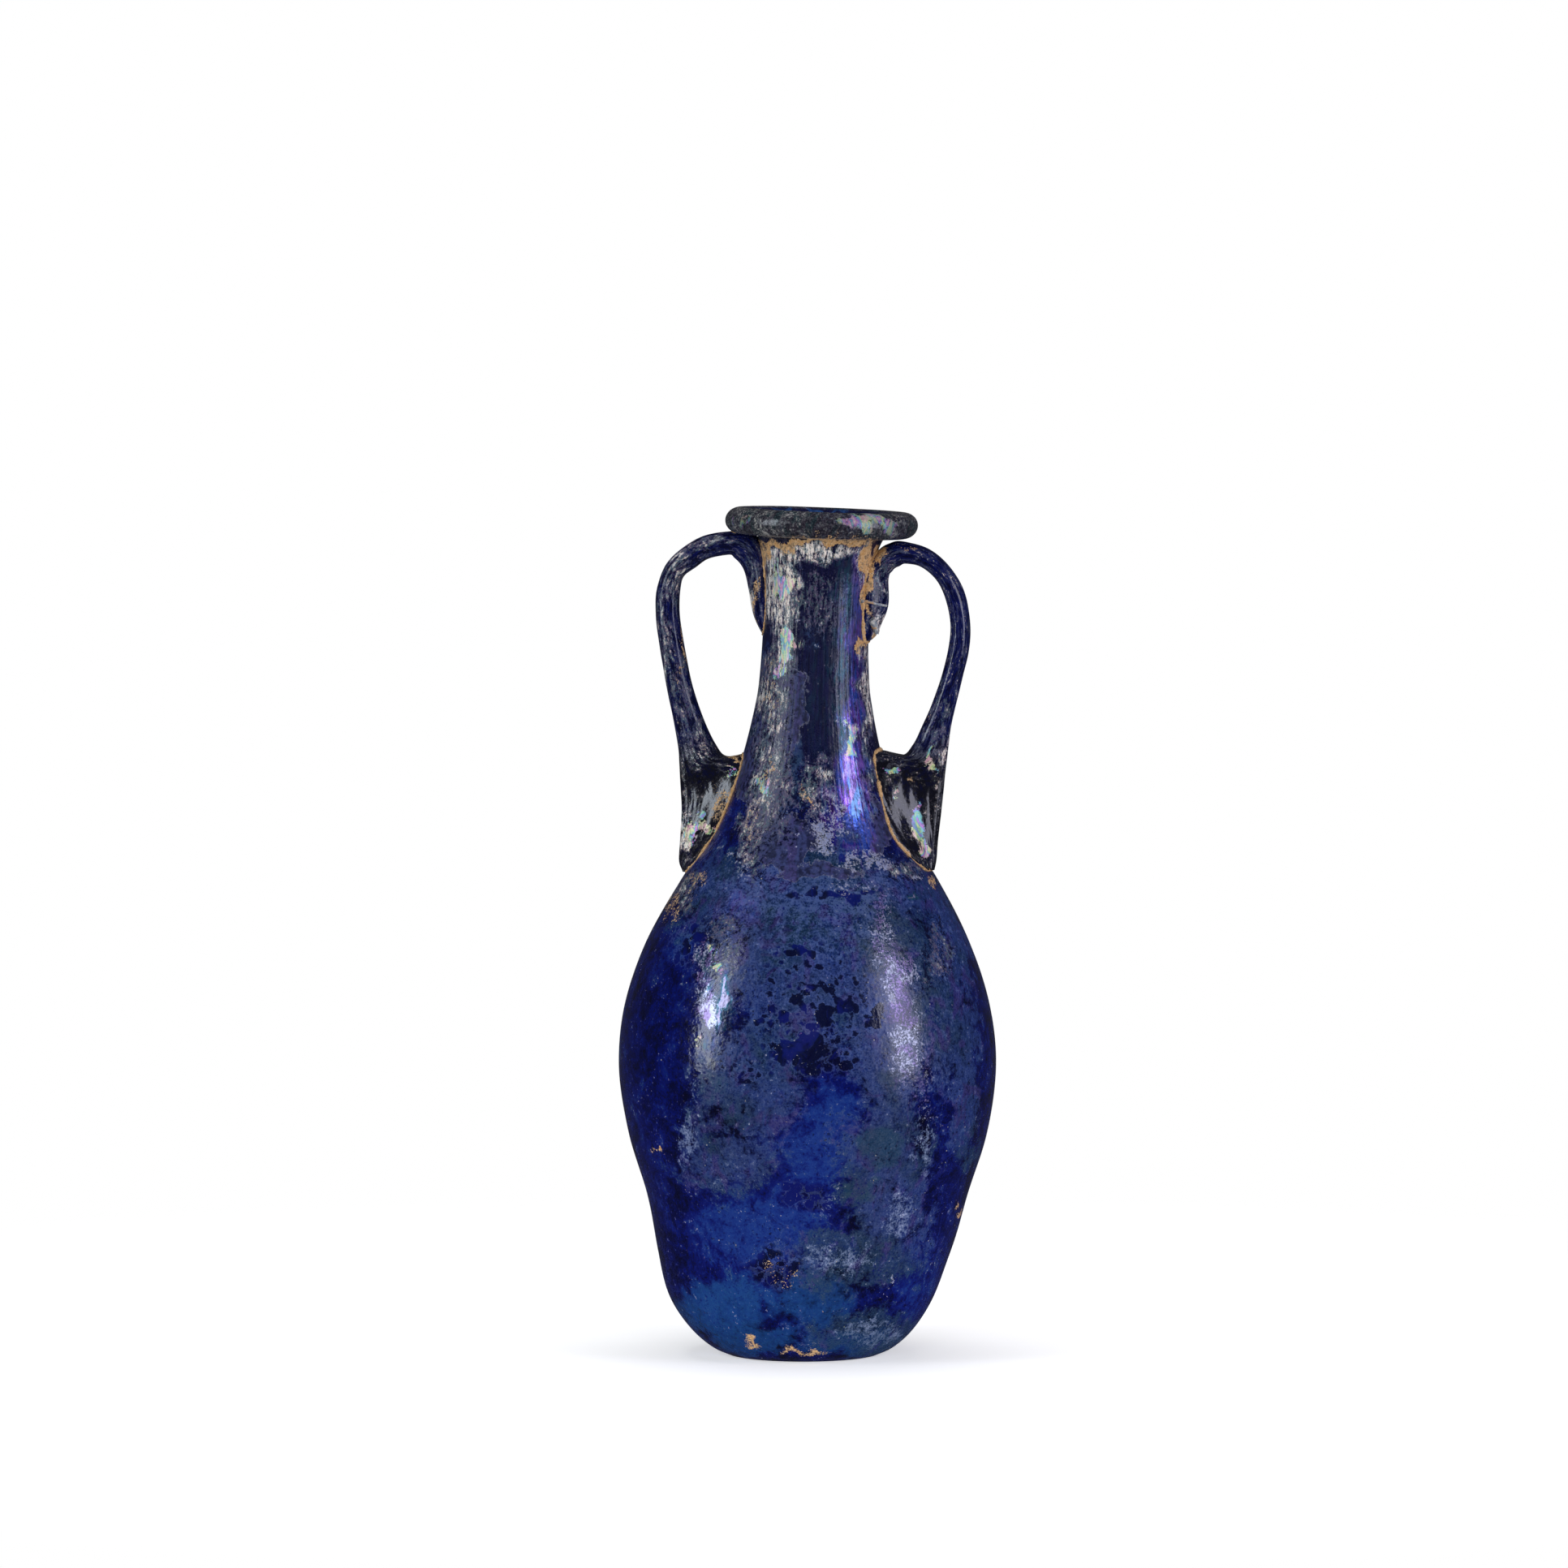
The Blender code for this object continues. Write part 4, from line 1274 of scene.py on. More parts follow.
def vessel_finish(colours):
    """The vessel's layers, from the bare glass out to the soil."""
    finish = Finish("weathered vessel glass")
    nodes = finish.nodes
    t = Textures(nodes)
    rim = nodes.attribute("rim")
    lay_glass(finish, t, colours)
    lay_haze(finish, t, colours)
    lay_pits(finish, t, colours)
    lay_film(finish, t, colours)
    lay_silver(finish, t, nodes.attribute("silver"), 0.85, colours)
    lay_clouds(finish, t, colours)
    lay_sheen(finish, t, colours)
    lay_flakes(finish, t, colours)
    lay_pearl_and_glint(finish, t, nodes.attribute("pearl"))
    lay_rim(finish, t, rim)
    lay_soil(finish, t, nodes.attribute("soil") * (1 - rim * 0.6), colours)
    dots = nodes.cells(t.place, 0.5).between(0.08, 0.05) * t.cloud.between(0.53, 0.57)
    finish.lay(dots, DOT, strength=0.7, roughness=0.6)
    drawn = 1 - nodes.attribute("body") * 0.75
    finish.raise_by(t.mixed(dents=0.07, grit=0.03) + t.lines * drawn * 0.11)
    return finish.finish()


def handle_finish(name, colours, silvering):
    """A handle's glass: blue on the rod, black on the pad, with film in streaks along the drawn glass."""
    finish = Finish(name)
    nodes = finish.nodes
    t = Textures(nodes)
    dark = nodes.attribute("dark")
    clear = nodes.blend((t.torn + t.wander(hairs=0.7)).between(0.36, 0.62), ROD_DARK, colours.cobalt)
    finish.colour = nodes.blend((dark + t.wander(torn=1.4)).between(0.2, 0.7), clear, colours.black)
    finish.roughness = t.mottle.between(0.3, 0.8) * 0.1 + 0.13
    level = t.mixed(torn=0.5, chips=0.5)
    film = nodes.blend(dark, ROD_FILM, PAD_FILM)
    gloss = t.hairs.between(0.45, 0.6) * 0.3 + 0.1
    finish.lay(level.between(0.5, 0.53), film, strength=0.7, roughness=gloss)
    streaks = t.lines.between(0.56, 0.6) * t.chips.between(0.45, 0.55)
    finish.lay(streaks, nodes.blend(dark, ROD_LINE, PAD_LINE), strength=0.5, roughness=0.3)
    flecks = nodes.ramp(t.mottle.between(0.3, 0.7), FLECK_STOPS)
    finish.lay((level + t.wander(fleck=0.5)).between(0.6, 0.62), flecks, strength=0.8, roughness=0.45)
    lay_silver(finish, t, nodes.attribute("silver") + silvering, 0.6 - dark * 0.35, colours)
    lay_pearl_and_glint(finish, t, nodes.attribute("pearl") * 0.95)
    lay_soil(finish, t, nodes.attribute("soil"), colours)
    finish.raise_by(t.mixed(dents=0.05, grit=0.03) + t.lines * (dark * 0.25 + 0.07))
    return finish.finish()


def soil_finish(colours):
    """The soil packed in a seam, with clots and a pale crust."""
    finish = Finish("packed soil", roughness=0.92)
    nodes = finish.nodes
    place = nodes.place()
    coarse = nodes.noise(place, scale=0.9, detail=4, roughness=0.7)
    grain = nodes.noise(place, scale=4.0, detail=3, roughness=0.75)
    finish.colour = nodes.blend(grain.between(0.4, 0.62), colours.soil, colours.soil_pale)
    finish.lay(coarse.between(0.54, 0.66), PACKED_CLOT, strength=0.85)
    finish.lay(coarse.between(0.4, 0.3), PACKED_CRUST, strength=0.6)
    finish.raise_by(grain * 0.12 + coarse * 0.2)
    return finish.finish()


def trail_finish(colours):
    """The trail's clouded glass, with soil on it in places."""
    finish = Finish("clouded trail glass", roughness=0.45)
    nodes = finish.nodes
    place = nodes.place()
    fine = nodes.noise(place, scale=1.6, detail=4, roughness=0.7)
    soiled = nodes.noise(place, scale=0.8, detail=3).between(0.55, 0.62)
    finish.colour = nodes.blend(fine.between(0.42, 0.6), TRAIL_DARK, TRAIL_PALE)
    finish.lay(soiled, colours.soil, strength=0.8)
    finish.raise_by(fine * 0.05)
    return finish.finish()


# Pieces


# How finely the vessel is divided: points from each point of its outline to the next, the distance between
# its rings, the rings of the roll, the cavity and the rounding inside, and the sides of each ring
SIDE_STEPS = 9
RING_STEP = 0.62 * MM
ROLL_RINGS = 34
CAVITY_RINGS = 36
KNUCKLE_RINGS = 10
RING_SIDES = 240

# The blown wall swells over the first distance and ripples over the second, by that share of the swell. It
# starts above the first height, so that the foot stays flat, and is full from the second height on
SWELL, RIPPLE, RIPPLE_SHARE = 26 * MM, 9 * MM, 0.3
SWELL_START, SWELL_FULL = 2 * MM, 12 * MM

# The inside counts from this deep under the rim's top, and fully from the second depth. The roll's film
# starts and is full at these heights from its underside, and it fades out where the roll turns inwards
INSIDE_START, INSIDE_FULL = 3 * MM, 6 * MM
ROLL_FILM_START, ROLL_FILM_FULL = -0.8 * MM, 0.2 * MM
ROLL_CREST = 4 * MM
ROLL_FADE_START, ROLL_FADE_END = 1 * MM, -5 * MM

# The body's finish is full up to this far above the widest part
BODY_RISE = 30 * MM

# The radius in millimetres of the straight tube that the vessel's streaks are drawn on, how much of the
# change in radius lengthens them, and the smallest radius that is divided by
STREAK_TUBE = 14.0
STREAK_SLANT = 0.5
TINY = 1e-9

# How finely these are divided: a handle, the shoulder that its toe stands on, the block that the handles
# are sunk into and the block that the seams are found with
ROD_STEPS = 8
ROD_SIDES = 48
SHOULDER_STEPS = 2
WALL_STEPS, WALL_SIDES = 4, 120
SEAM_STEPS, SEAM_SIDES = 6, 160

# The ridges along a rod: how close they lie round it, how slowly they change along it, how much finer and
# weaker the second set is, and the size of the rod's bumps
RIDGES_ROUND, RIDGES_ALONG = 2.4, 0.03
FINER, FINER_SHARE = (2.2, 2.2, 1.0), 0.5
ROD_BUMPS = 5 * MM

# How far a rod's streaks spread round and along it, in millimetres for each unit of its places, and the
# heights between which the glass turns from black to blue
ROD_STREAKS = (3.0, 3.0, 1.0)
BLACK_UP_TO, BLUE_FROM = 112 * MM, 124 * MM

# The seam's soil: how far outside the glass it lies, how much thicker the right ridge is, the smallest and
# largest grain as multiples of the grain's size, and the sides of a ridge or a trail
SEAM_LIFT = 0.02 * MM
RIGHT_RIDGE_SHARE = 1.2
GRAIN_RANGE = (0.4, 1.6)
TUBE_SIDES = 9

# The trail: points from each point of its path to the next, and shares of its radius: how far it stands off
# the glass, the distance between its points and its unevenness. The tail's end is this much thicker
TRAIL_STEPS = 6
TRAIL_LIFT, TRAIL_STEP, TRAIL_LUMP = 0.3, 1.5, 0.8
TAIL_END_SHARE = 2.6

# How strongly each finish covers the unseen sides, and the size of its patches
VESSEL_BACK = {
    "haze": 0.9,
    "royal": 0.8,
    "azure": 0.5,
    "moss": 0.4,
    "silver": 0.42,
    "film": 0.35,
    "clouds": 0.6,
    "flakes": 0.4,
    "pearl": 0.3,
    "lilac": 0.3,
    "violet": 0.15,
    "teal": 0.15,
    "pits": 0.8,
    "windows": 0.2,
    "soil": 0.3,
}
HANDLE_BACK = {"silver": 0.6, "pearl": 0.5, "soil": 0.35}
BACK_PATCH = 18 * MM

# The seed of the first patches and the step to the next, and the noise where a patch starts and is full
BACK_SEED, BACK_SEED_STEP = 10.0, 7
PATCH_START, PATCH_FULL = -0.15, 0.45


def dressed(obj, material, slot, *nodes_replaced):
    obj.data.materials.clear()
    obj.data.materials.append(material)
    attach(obj, BODY)
    if nodes_replaced:
        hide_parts(*nodes_replaced)


def by_chance(strengths):
    """Coverage on the back: each finish in broad patches, no stronger than given."""

    def base(name, points, number):
        patch = rumple(points, BACK_PATCH, BACK_SEED + BACK_SEED_STEP * number)
        return strengths.get(name, 0.0) * smooth_step(patch, PATCH_START, PATCH_FULL)

    return base


def even_vessel(shape):
    """The vessel's skin: the dent under the foot, the side, the roll, and the cavity down to its floor."""
    sizes = shape.sizes
    side = shape.side(SIDE_STEPS)
    kick = np.array([(out * sizes.kick_radius, up * sizes.kick_depth) for out, up in KICK_OUTLINE])
    cavity = shape.cavity(side, CAVITY_RINGS, KNUCKLE_RINGS)
    profile = np.vstack((kick, evened(side, RING_STEP), shape.roll(ROLL_RINGS), cavity))
    poles = [shape.pole(level) for level in (sizes.kick_depth, sizes.floor_thickness)]
    return ringed("blown_vessel", shape.rings(profile, RING_SIDES), *poles)


def swell_wall(vessel, points, normals, wobble):
    """Moves the even vessel's wall in and out, as blowing leaves it."""
    start = smooth_step(points[:, 2], SWELL_START, SWELL_FULL)
    swell = rumple(points, SWELL) * wobble + rumple(points, RIPPLE, seed=5.0) * wobble * RIPPLE_SHARE
    set_points(vessel, points + normals * (swell * start)[:, None])


def meridian_places(points, shape):
    """Places in millimetres on a straight tube of the same glass, so that streaks follow the drawing."""
    across = points[:, 0] - shape.drift(points[:, 2])
    radius = np.hypot(across, points[:, 1]) + TINY
    slant = (points[:, 2] + (shape.sizes.belly_radius - radius) * STREAK_SLANT) / MM
    return np.column_stack((STREAK_TUBE * across / radius, STREAK_TUBE * points[:, 1] / radius, slant))


def paint_vessel(vessel, shape, points, normals):
    """Writes on the vessel where each finish lies, from the places and normals of the even wall."""
    outward = (normals[:, :2] * (points[:, :2] - (shape.drift(shape.roll_level), 0))).sum(axis=1)
    heights = points[:, 2]
    inside = smooth_step(shape.rim_top - heights, INSIDE_START, INSIDE_FULL) * (outward < 0)
    paint_finishes(vessel, VESSEL_FINISHES, by_chance(VESSEL_BACK), 1 - inside)
    lip = shape.roll_underside
    on_roll = smooth_step(heights, lip + ROLL_FILM_START, lip + ROLL_FILM_FULL)
    outside = smooth_step(outward + normals[:, 2] * ROLL_CREST, ROLL_FADE_END, ROLL_FADE_START)
    set_values(vessel, "rim", on_roll * outside)
    body_top = shape.sizes.belly_height + BODY_RISE
    set_values(vessel, "body", smooth_step(-heights, -shape.neck_foot, -body_top))
    set_values(vessel, "along", meridian_places(points, shape))


class AMPHORA_OT_blow_vessel(bpy.types.Operator):
    """Makes the blown vessel with its rolled rim and its weathered film"""

    bl_idname = "amphora.blow_vessel"
    bl_label = "Blow the vessel"

    def execute(self, context):
        sizes = context.scene.amphora_sizes
        shape = VesselShape(sizes)
        vessel = even_vessel(shape)
        points, normals = vertex_arrays(vessel)
        swell_wall(vessel, points, normals, sizes.wobble)
        paint_vessel(vessel, shape, points, normals)
        dressed(vessel, vessel_finish(context.scene.amphora_colours), "vessel_glass", "vessel")
        return {"FINISHED"}


def handle_depth(sizes, share, turn, spread, pad_width):
    """A slice's extent along Y at that share of the way from the handle's outer edge to the loop's."""
    on_neck, on_shoulder = max(0.0, -spread), max(0.0, spread)
    rod = sizes.rod_depth
    outer = rod + on_neck * (sizes.tail_width - rod) - PAD_TAPER * on_shoulder * rod
    loop = rod + on_shoulder * (pad_width - rod) - TAIL_TAPER * on_neck * rod
    height = np.sin(turn)
    roundness = np.abs(height) ** (1 - PAD_SQUARENESS * on_shoulder)
    return np.copysign((outer + (loop - outer) * share**PAD_FAN) / 2 * roundness, height)


def handle_rows(shape, stations, side, reach):
    """A handle's stations in metres: both edges as x and z, and the spread. Also how far down it reaches."""
    sizes = shape.sizes
    neck_side = shape.drift((shape.neck_foot + shape.neck_head) / 2) + side * sizes.neck_radius
    toe_x = neck_side + side * stations[-1][0][0] * reach
    shoulder = shape.side(SHOULDER_STEPS)
    shoulder = shoulder[shoulder[:, 1] > sizes.belly_height]
    centred_toe = side * (toe_x - shape.drift(sizes.belly_height + sizes.shoulder_rise / 2))
    toe_level = np.interp(-centred_toe, -shoulder[:, 0], shoulder[:, 1]) + sizes.toe_rise
    drop = shape.roll_underside - toe_level
    rows = []
    for outer, loop, spread in stations:
        row = []
        for out, down in (outer, loop):
            row += [neck_side + side * out * reach, shape.roll_underside - down * drop]
        rows.append((*row, spread * drop))
    return rows, drop


def handle_loft(shape, name, stations, side, reach, pad_width):
    """A handle's slices from its tail to its toe, and for each point its place round and along the rod."""
    sizes = shape.sizes
    rows, drop = handle_rows(shape, stations, side, reach)
    turns = np.arange(ROD_SIDES) * 2 * math.pi / ROD_SIDES
    share = (1 - np.cos(turns)) / 2
    round_rod = np.column_stack((np.cos(turns), np.sin(turns)))
    cosine, sine = math.cos(sizes.handle_turn), math.sin(sizes.handle_turn)
    points, places, travelled, last = [], [], 0.0, None
    for outer_x, outer_z, loop_x, loop_z, scaled_spread in smooth_curve(rows, ROD_STEPS):
        middle = np.array(((outer_x + loop_x) / 2, (outer_z + loop_z) / 2))
        travelled += 0.0 if last is None else float(np.linalg.norm(middle - last))
        last = middle
        x = outer_x + (loop_x - outer_x) * share
        y = handle_depth(sizes, share, turns, scaled_spread / drop, pad_width)
        z = outer_z + (loop_z - outer_z) * share
        points.append(np.column_stack((x * cosine - y * sine, x * sine + y * cosine, z)))
        places.append(np.column_stack((round_rod, np.full(ROD_SIDES, travelled / MM))))
    rings = np.array(points)
    handle = ringed(name, rings, rings[0].mean(axis=0), rings[-1].mean(axis=0))
    return handle, np.vstack((*places, places[0][:1], places[-1][:1]))


def ridge_rod(loft, places, side, height):
    """Raises the ridges that drawing leaves along a rod."""
    points, normals = vertex_arrays(loft)
    drawn = np.column_stack((places[:, :2] * RIDGES_ROUND, places[:, 2] * RIDGES_ALONG))
    ridges = rumple(drawn, 1.0, seed=3.0 * side) + FINER_SHARE * rumple(drawn * FINER, 1.0, seed=9.0)
    bumps = rumple(points, ROD_BUMPS, seed=2.0)
    set_points(loft, points + normals * (ridges * height + bumps * height)[:, None])


def sunk_into(block, loft, name, places):
    """The handle without what lies inside the block, and with each point's place on the drawn rod."""
    points = vertex_arrays(loft)[0]
    lookup = kdtree.KDTree(len(points))
    for i, point in enumerate(points):
        lookup.insert(point, i)
    lookup.balance()
    trim = loft.modifiers.new("sink into the wall", "BOOLEAN")
    trim.operation = "DIFFERENCE"
    trim.solver = "EXACT"
    trim.object = block
    handle = evaluated_copy(loft, name)
    handle.data.shade_smooth()
    found = [lookup.find(vertex.co)[1] for vertex in handle.data.vertices]
    set_values(handle, "along", places[found] * ROD_STREAKS)
    return handle


class AMPHORA_OT_draw_handles(bpy.types.Operator):
    """Draws the two handles and sinks their pads and tails into the vessel's wall"""

    bl_idname = "amphora.draw_handles"
    bl_label = "Draw the handles"

    def execute(self, context):
        sizes = context.scene.amphora_sizes
        shape = VesselShape(sizes)
        block = shape.solid_block(-sizes.weld_depth, WALL_STEPS, WALL_SIDES)
        for word, stations, side, reach, pad_width, silvering in (
            ("left", LEFT_STATIONS, LEFT, sizes.left_reach, sizes.left_pad_width, 0.1),
            ("right", RIGHT_STATIONS, RIGHT, sizes.right_reach, sizes.right_pad_width, 0.0),
        ):
            name, node = word + "_rod_handle", word + "_handle"
            loft, places = handle_loft(shape, name, stations, side, reach, pad_width)
            ridge_rod(loft, places, side, sizes.rod_ridges)
            handle = sunk_into(block, loft, name, places)
            heights = vertex_arrays(handle)[0][:, 2]
            set_values(handle, "dark", smooth_step(-heights, -BLUE_FROM, -BLACK_UP_TO))
            paint_finishes(handle, HANDLE_FINISHES, by_chance(HANDLE_BACK))
            material = handle_finish(name + " glass", context.scene.amphora_colours, silvering)
            dressed(handle, material, node + "_glass", node)
        bpy.data.objects.remove(block)
        return {"FINISHED"}


def tree_with(name, inputs):
    """An empty Geometry Nodes tree with named inputs, its nodes, and the inputs' sockets by name."""
    tree = bpy.data.node_groups.new(name, "GeometryNodeTree")
    nodes = Nodes(tree)
    for label, kind in inputs.items():
        tree.interface.new_socket(label, in_out="INPUT", socket_type="NodeSocket" + kind)
    tree.interface.new_socket("Result", in_out="OUTPUT", socket_type="NodeSocketGeometry")
    given = nodes.add("NodeGroupInput")
    return tree, nodes, {label: Value(nodes, given.outputs[label]) for label in inputs}


def lumpy_tube(nodes, curve, radius, given):
    """A tube along a curve whose thickness and course waver. The radius may change along it."""
    spacing = {"Curve": curve, "Length": given["Step"]}
    spaced = nodes.add("GeometryNodeResampleCurve", {"mode": "LENGTH"}, spacing)
    position = nodes.add("GeometryNodeInputPosition").outputs[0]
    in_mm = nodes.scaled(position, (1 / MM,) * 3)
    circle = nodes.add("GeometryNodeCurvePrimitiveCircle", None, {"Resolution": TUBE_SIDES, "Radius": 1.0})
    uneven = nodes.noise(in_mm, scale=1.1, detail=3, roughness=0.7) * 1.6 - 0.1
    tube = nodes.add("GeometryNodeCurveToMesh", None, {
        "Curve": spaced.outputs[0],
        "Profile Curve": circle.outputs[0],
        "Scale": uneven * radius(in_mm),
        "Fill Caps": True,
    })
    waves = nodes.add("ShaderNodeTexNoise", None, {"Vector": in_mm, "Scale": 1.7, "Detail": 3.0})
    about_nought = {0: waves.outputs["Color"], 1: (0.5,) * 3}
    centred = nodes.add("ShaderNodeVectorMath", {"operation": "SUBTRACT"}, about_nought)
    lumps = {0: centred.outputs[0], "Scale": given["Lump"] * 2.0}
    push = nodes.add("ShaderNodeVectorMath", {"operation": "SCALE"}, lumps)
    pushed = {"Geometry": tube.outputs[0], "Offset": push.outputs[0]}
    return nodes.add("GeometryNodeSetPosition", None, pushed).outputs[0]


def end_tree(nodes, geometry, material):
    real = nodes.add("GeometryNodeRealizeInstances", None, {0: geometry})
    smooth = nodes.add("GeometryNodeSetShadeSmooth", None, {0: real.outputs[0]})
    sockets = {"Geometry": smooth.outputs[0], "Material": material}
    surfaced = nodes.add("GeometryNodeSetMaterial", None, sockets)
    nodes.add("NodeGroupOutput", None, {0: surfaced.outputs[0]})


def soil_tree(material):
    """Packs soil along the seam where glass enters a solid block: a lumpy ridge with loose grains."""
    tree, nodes, given = tree_with("soil along a seam", {
        "Glass": "Geometry", "Block": "Object", "Ridge": "Float", "Step": "Float", "Lump": "Float",
        "Grain": "Float", "Density": "Float", "Seed": "Int",
    })
    block = nodes.add("GeometryNodeObjectInfo", None, {"Object": given["Block"]})
    cut = nodes.add(
        "GeometryNodeMeshBoolean",
        {"operation": "DIFFERENCE", "solver": "EXACT"},
        {"Mesh 1": given["Glass"], "Mesh 2": block.outputs["Geometry"]},
    )
    crossing = cut.outputs["Intersecting Edges"]
    seam = nodes.add("GeometryNodeMeshToCurve", None, {"Mesh": cut.outputs["Mesh"], "Selection": crossing})

    def radius(in_mm):
        return (nodes.noise(in_mm, 0.2, 3).between(0.3, 0.65) * 1.1 + 0.25) * given["Ridge"]

    ridge = lumpy_tube(nodes, seam.outputs[0], radius, given)
    seeds = {"Mesh": ridge, "Density": given["Density"], "Seed": given["Seed"]}
    strewn = nodes.add("GeometryNodeDistributePointsOnFaces", None, seeds)
    ball = nodes.add("GeometryNodeMeshIcoSphere", None, {"Radius": 1.0, "Subdivisions": 1})
    smallest, largest = GRAIN_RANGE
    between_them = {2: smallest, 3: largest, "Seed": given["Seed"]}
    size = nodes.add("FunctionNodeRandomValue", {"data_type": "FLOAT"}, between_them)
    any_turn = {0: (0, 0, 0), 1: (2 * math.pi,) * 3}
    spin = nodes.add("FunctionNodeRandomValue", {"data_type": "FLOAT_VECTOR"}, any_turn)
    grains = nodes.add("GeometryNodeInstanceOnPoints", None, {
        "Points": strewn.outputs[0],
        "Instance": ball.outputs[0],
        "Rotation": spin.outputs[0],
        "Scale": Value(nodes, size.outputs[1]) * given["Grain"],
    })
    both = nodes.add("GeometryNodeJoinGeometry")
    nodes.feed(both.inputs[0], grains.outputs[0])
    nodes.feed(both.inputs[0], ridge)
    end_tree(nodes, both.outputs[0], material)
    return tree


def trail_tree(material):
    """Lays a lumpy thread of glass along a path."""
    inputs = {"Path": "Geometry", "Radius": "Float", "Step": "Float", "Lump": "Float"}
    tree, nodes, given = tree_with("glass thread", inputs)
    thread = lumpy_tube(nodes, given["Path"], lambda in_mm: given["Radius"], given)
    end_tree(nodes, thread, material)
    return tree


def set_tree_inputs(modifier, values):
    """Sets a tree's inputs by the identifiers of its named sockets."""
    for item in modifier.node_group.interface.items_tree:
        if item.in_out == "INPUT" and item.name in values:
            modifier[item.identifier] = values[item.name]


def made_by_tree(name, source, tree, inputs):
    """A plain mesh of what the tree makes of the source object, which is removed."""
    modifier = source.modifiers.new(name, "NODES")
    modifier.node_group = tree
    set_tree_inputs(modifier, inputs)
    made = evaluated_copy(source, name)
    if not made.data.polygons:
        raise RuntimeError(name + " came out empty")
    return made


def path_on(name, surfaces, path, lift):
    """A curve object whose path, given in the photograph's pixels, lies that far outside the surfaces."""
    camera = photo_camera()
    curve = bpy.data.curves.new(name, "CURVE")
    curve.dimensions = "3D"
    places = []
    for x, y in smooth_curve(path, TRAIL_STEPS):
        place, normal = camera.landing(surfaces, x, y)
        places.append((*(place + normal * lift), 1.0))
    spline = curve.splines.new("POLY")
    spline.points.add(len(places) - 1)
    for point, place in zip(spline.points, places):
        point.co = place
    made = bpy.data.objects.new(name, curve)
    bpy.context.scene.collection.objects.link(made)
    return made


class AMPHORA_OT_pack_soil(bpy.types.Operator):
    """Packs soil into the seams of the handles"""

    bl_idname = "amphora.pack_soil"
    bl_label = "Pack the soil"

    def execute(self, context):
        soil = context.scene.amphora_soil
        shape = VesselShape(context.scene.amphora_sizes)
        material = soil_finish(context.scene.amphora_colours)
        tree = soil_tree(material)
        block = shape.solid_block(SEAM_LIFT, SEAM_STEPS, SEAM_SIDES)
        for name, handle, ridge in (
            ("left_seam_soil", "left_rod_handle", soil.ridge),
            ("right_seam_soil", "right_rod_handle", soil.ridge * RIGHT_RIDGE_SHARE),
        ):
            seam = bpy.data.objects.new(name + "_path", bpy.data.objects[handle].data.copy())
            context.scene.collection.objects.link(seam)
            made = made_by_tree(name, seam, tree, {
                "Block": block, "Ridge": ridge, "Step": soil.step, "Lump": soil.lump,
                "Grain": soil.grain, "Density": soil.density, "Seed": soil.seed,
            })
            dressed(made, material, "vessel_glass")
        bpy.data.objects.remove(block)
        return {"FINISHED"}


class AMPHORA_OT_trail_tail(bpy.types.Operator):
    """Lays the glass trail across the right handle's tail, and the tail's rounded end"""

    bl_idname = "amphora.trail_tail"
    bl_label = "Trail the tail"

    def execute(self, context):
        trail = context.scene.amphora_soil.trail
        material = trail_finish(context.scene.amphora_colours)
        tree = trail_tree(material)
        pieces = ("blown_vessel", "left_rod_handle", "right_rod_handle")
        surfaces = [surface_tree(bpy.data.objects[piece]) for piece in pieces]
        threads = (("tail_trail", TRAIL, trail), ("tail_end", TAIL_END, trail * TAIL_END_SHARE))
        for name, path, radius in threads:
            source = path_on(name + "_path", surfaces, path, radius * TRAIL_LIFT)
            inputs = {"Radius": radius, "Step": radius * TRAIL_STEP, "Lump": radius * TRAIL_LUMP}
            dressed(made_by_tree(name, source, tree, inputs), material, "right_handle_glass")
        return {"FINISHED"}


# Stage


# The camera's sensor in millimetres, and the far end of its view in metres
SENSOR_WIDTH = 36.0
FAR_CLIP = 10.0

# The soft boxes, a metre away: the turn about the amphora in degrees, the width, the height of the lower
# edge, the share of the power and the tint. Then how tall they are, and the point that they face
SOFT_BOXES = (
    ("left soft box", -64, 0.24, -0.02, 0.9, (0.82, 0.9, 1.0)),
    ("right soft box", 60, 0.42, -0.06, 1.0, (0.82, 0.82, 1.0)),
)
SOFT_BOX_HEIGHT = 0.8
SOFT_BOX_AIM = (0, 0, 0.1)

# The fill lights, which nothing reflects: the place, the side and the share of the power. Then their aim
FILL_LIGHTS = (
    ("overhead light", (0, 0.1, 1.5), 1.2, 1.0),
    ("front fill", (0, -1.4, 0.35), 0.8, 0.6),
)
FILL_AIM = (0, 0, 0.09)

WORLD_DARK, WORLD_WHITE = (0.035, 0.035, 0.04), (1.0, 1.0, 1.0)

# The floor's disc, and the distances between which it fades out
FLOOR_RADIUS, FLOOR_SIDES = 1.5, 96
FLOOR_FADE_START, FLOOR_FADE_END = 0.1, 0.3


def turned(obj, direction):
    """Turns a camera or a light to face that way."""
    obj.rotation_mode = "QUATERNION"
    obj.rotation_quaternion = Vector(direction).to_track_quat("-Z", "Y")


def add_camera(scene):
    camera = photo_camera()
    lens = bpy.data.cameras.new("photo camera")
    lens.sensor_width = SENSOR_WIDTH
    lens.lens = SENSOR_WIDTH * camera.focal / PHOTO_SIDE
    lens.clip_end = FAR_CLIP
    made = bpy.data.objects.new("photo camera", lens)
    made.location = camera.place
    turned(made, camera.forward)
    scene.collection.objects.link(made)
    scene.camera = made


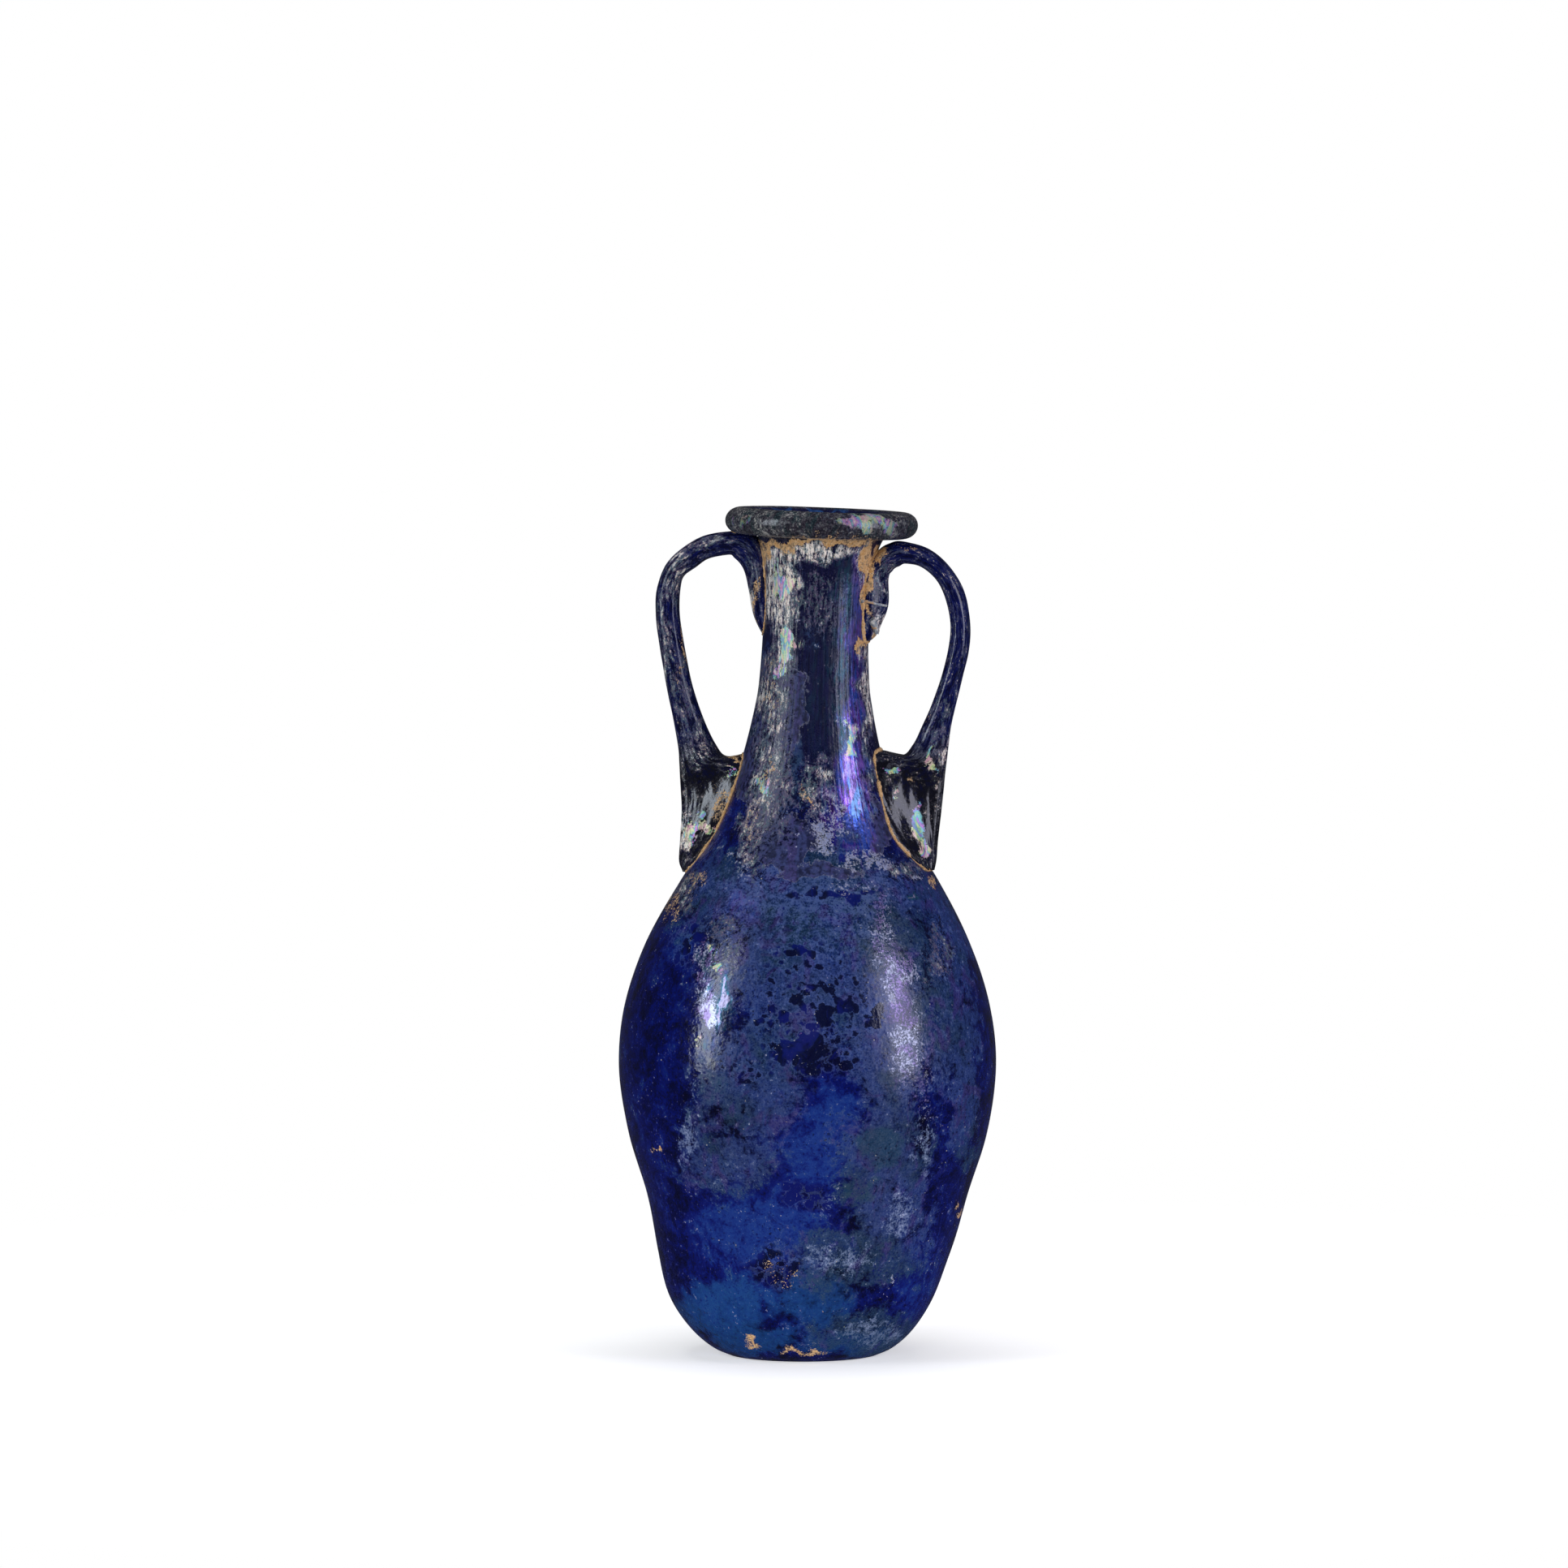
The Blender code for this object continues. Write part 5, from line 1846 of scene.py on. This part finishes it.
def add_light(scene, name, place, aim, sides, power, tint=(1.0, 1.0, 1.0)):
    """A rectangular light that faces its aim."""
    light = bpy.data.lights.new(name, "AREA")
    light.shape = "RECTANGLE"
    light.size, light.size_y = sides
    light.energy = power
    light.color = tint
    made = bpy.data.objects.new(name, light)
    made.location = place
    turned(made, Vector(aim) - Vector(place))
    scene.collection.objects.link(made)
    return made


def add_lights(scene, stage):
    for name, azimuth, width, low, share, tint in SOFT_BOXES:
        turn = math.radians(azimuth)
        place = (math.sin(turn), -math.cos(turn), low + SOFT_BOX_HEIGHT / 2)
        sides = (width, SOFT_BOX_HEIGHT)
        add_light(scene, name, place, SOFT_BOX_AIM, sides, stage.light_power * share, tint)
    for name, place, side, share in FILL_LIGHTS:
        fill = add_light(scene, name, place, FILL_AIM, (side, side), stage.fill_power * share)
        fill.visible_glossy = False


def add_world(scene):
    """White behind the amphora, and dark grey in what it reflects."""
    world = bpy.data.worlds.new("studio")
    world.use_nodes = True
    scene.world = world
    nodes = Nodes(world.node_tree)
    seen = Value(nodes, nodes.add("ShaderNodeLightPath").outputs["Is Camera Ray"])
    sky = nodes.add("ShaderNodeBackground", None, {"Color": nodes.blend(seen, WORLD_DARK, WORLD_WHITE)})
    nodes.add("ShaderNodeOutputWorld", None, {"Surface": sky.outputs[0]})


def floor_material(stage):
    """White cloth that glows a little and fades out round the amphora."""
    material = bpy.data.materials.new("studio floor")
    material.use_nodes = True
    nodes = Nodes(material.node_tree)
    place = nodes.add("ShaderNodeTexCoord").outputs["Object"]
    away = nodes.add("ShaderNodeVectorMath", {"operation": "LENGTH"}, {0: place}).outputs["Value"]
    shader = nodes.add("ShaderNodeBsdfPrincipled", None, {
        "Base Color": tuple(stage.floor),
        "Roughness": nodes.noise(nodes.place(), 0.02, 3) * 0.02 + 0.85,
        "Alpha": Value(nodes, away).between(FLOOR_FADE_END, FLOOR_FADE_START),
        "Emission Color": tuple(stage.floor),
        "Emission Strength": stage.floor_glow,
    })
    nodes.add("ShaderNodeOutputMaterial", None, {"Surface": shader.outputs[0]})
    return material


def add_floor(scene, stage):
    turns = np.linspace(0, 2 * math.pi, FLOOR_SIDES, endpoint=False)
    points = [(math.cos(turn) * FLOOR_RADIUS, math.sin(turn) * FLOOR_RADIUS, 0.0) for turn in turns]
    data = bpy.data.meshes.new("studio_floor")
    data.from_pydata(points, [], [tuple(range(FLOOR_SIDES))])
    data.materials.append(floor_material(stage))
    floor = bpy.data.objects.new("studio_floor", data)
    scene.collection.objects.link(floor)
    floor.visible_glossy = False


class AMPHORA_OT_set_stage(bpy.types.Operator):
    """Sets the floor, the lights and the camera"""

    bl_idname = "amphora.set_stage"
    bl_label = "Set the stage"

    def execute(self, context):
        scene = context.scene
        scene.view_settings.view_transform = "Standard"
        add_camera(scene)
        add_lights(scene, scene.amphora_stage)
        add_world(scene)
        add_floor(scene, scene.amphora_stage)
        return {"FINISHED"}


class AMPHORA_PT_panel(bpy.types.Panel):
    """Lists the steps that make the amphora"""

    bl_idname = "AMPHORA_PT_panel"
    bl_label = "Glass amphora"
    bl_space_type = "VIEW_3D"
    bl_region_type = "UI"
    bl_category = "Amphora"

    def draw(self, context):
        for operator in OPERATORS:
            self.layout.operator(operator.bl_idname)
        for group in ("amphora_sizes", "amphora_colours", "amphora_soil", "amphora_stage"):
            settings = getattr(context.scene, group)
            column = self.layout.column(align=True)
            for name in settings.__annotations__:
                column.prop(settings, name)


OPERATORS = (
    AMPHORA_OT_blow_vessel,
    AMPHORA_OT_draw_handles,
    AMPHORA_OT_pack_soil,
    AMPHORA_OT_trail_tail,
    AMPHORA_OT_set_stage,
)
GROUPS = {
    "amphora_sizes": GlassSizes,
    "amphora_colours": GlassColours,
    "amphora_soil": SoilSizes,
    "amphora_stage": StageSettings,
}


def register():
    for made in (*GROUPS.values(), *OPERATORS, AMPHORA_PT_panel):
        bpy.utils.register_class(made)
    for name, group in GROUPS.items():
        setattr(bpy.types.Scene, name, PointerProperty(type=group))


def unregister():
    for name in GROUPS:
        delattr(bpy.types.Scene, name)
    for made in reversed((*GROUPS.values(), *OPERATORS, AMPHORA_PT_panel)):
        bpy.utils.unregister_class(made)


def main():
    register()
    bpy.ops.amphora.blow_vessel()
    bpy.ops.amphora.draw_handles()
    bpy.ops.amphora.pack_soil()
    bpy.ops.amphora.trail_tail()
    bpy.ops.amphora.set_stage()


if __name__ == "__main__":
    main()
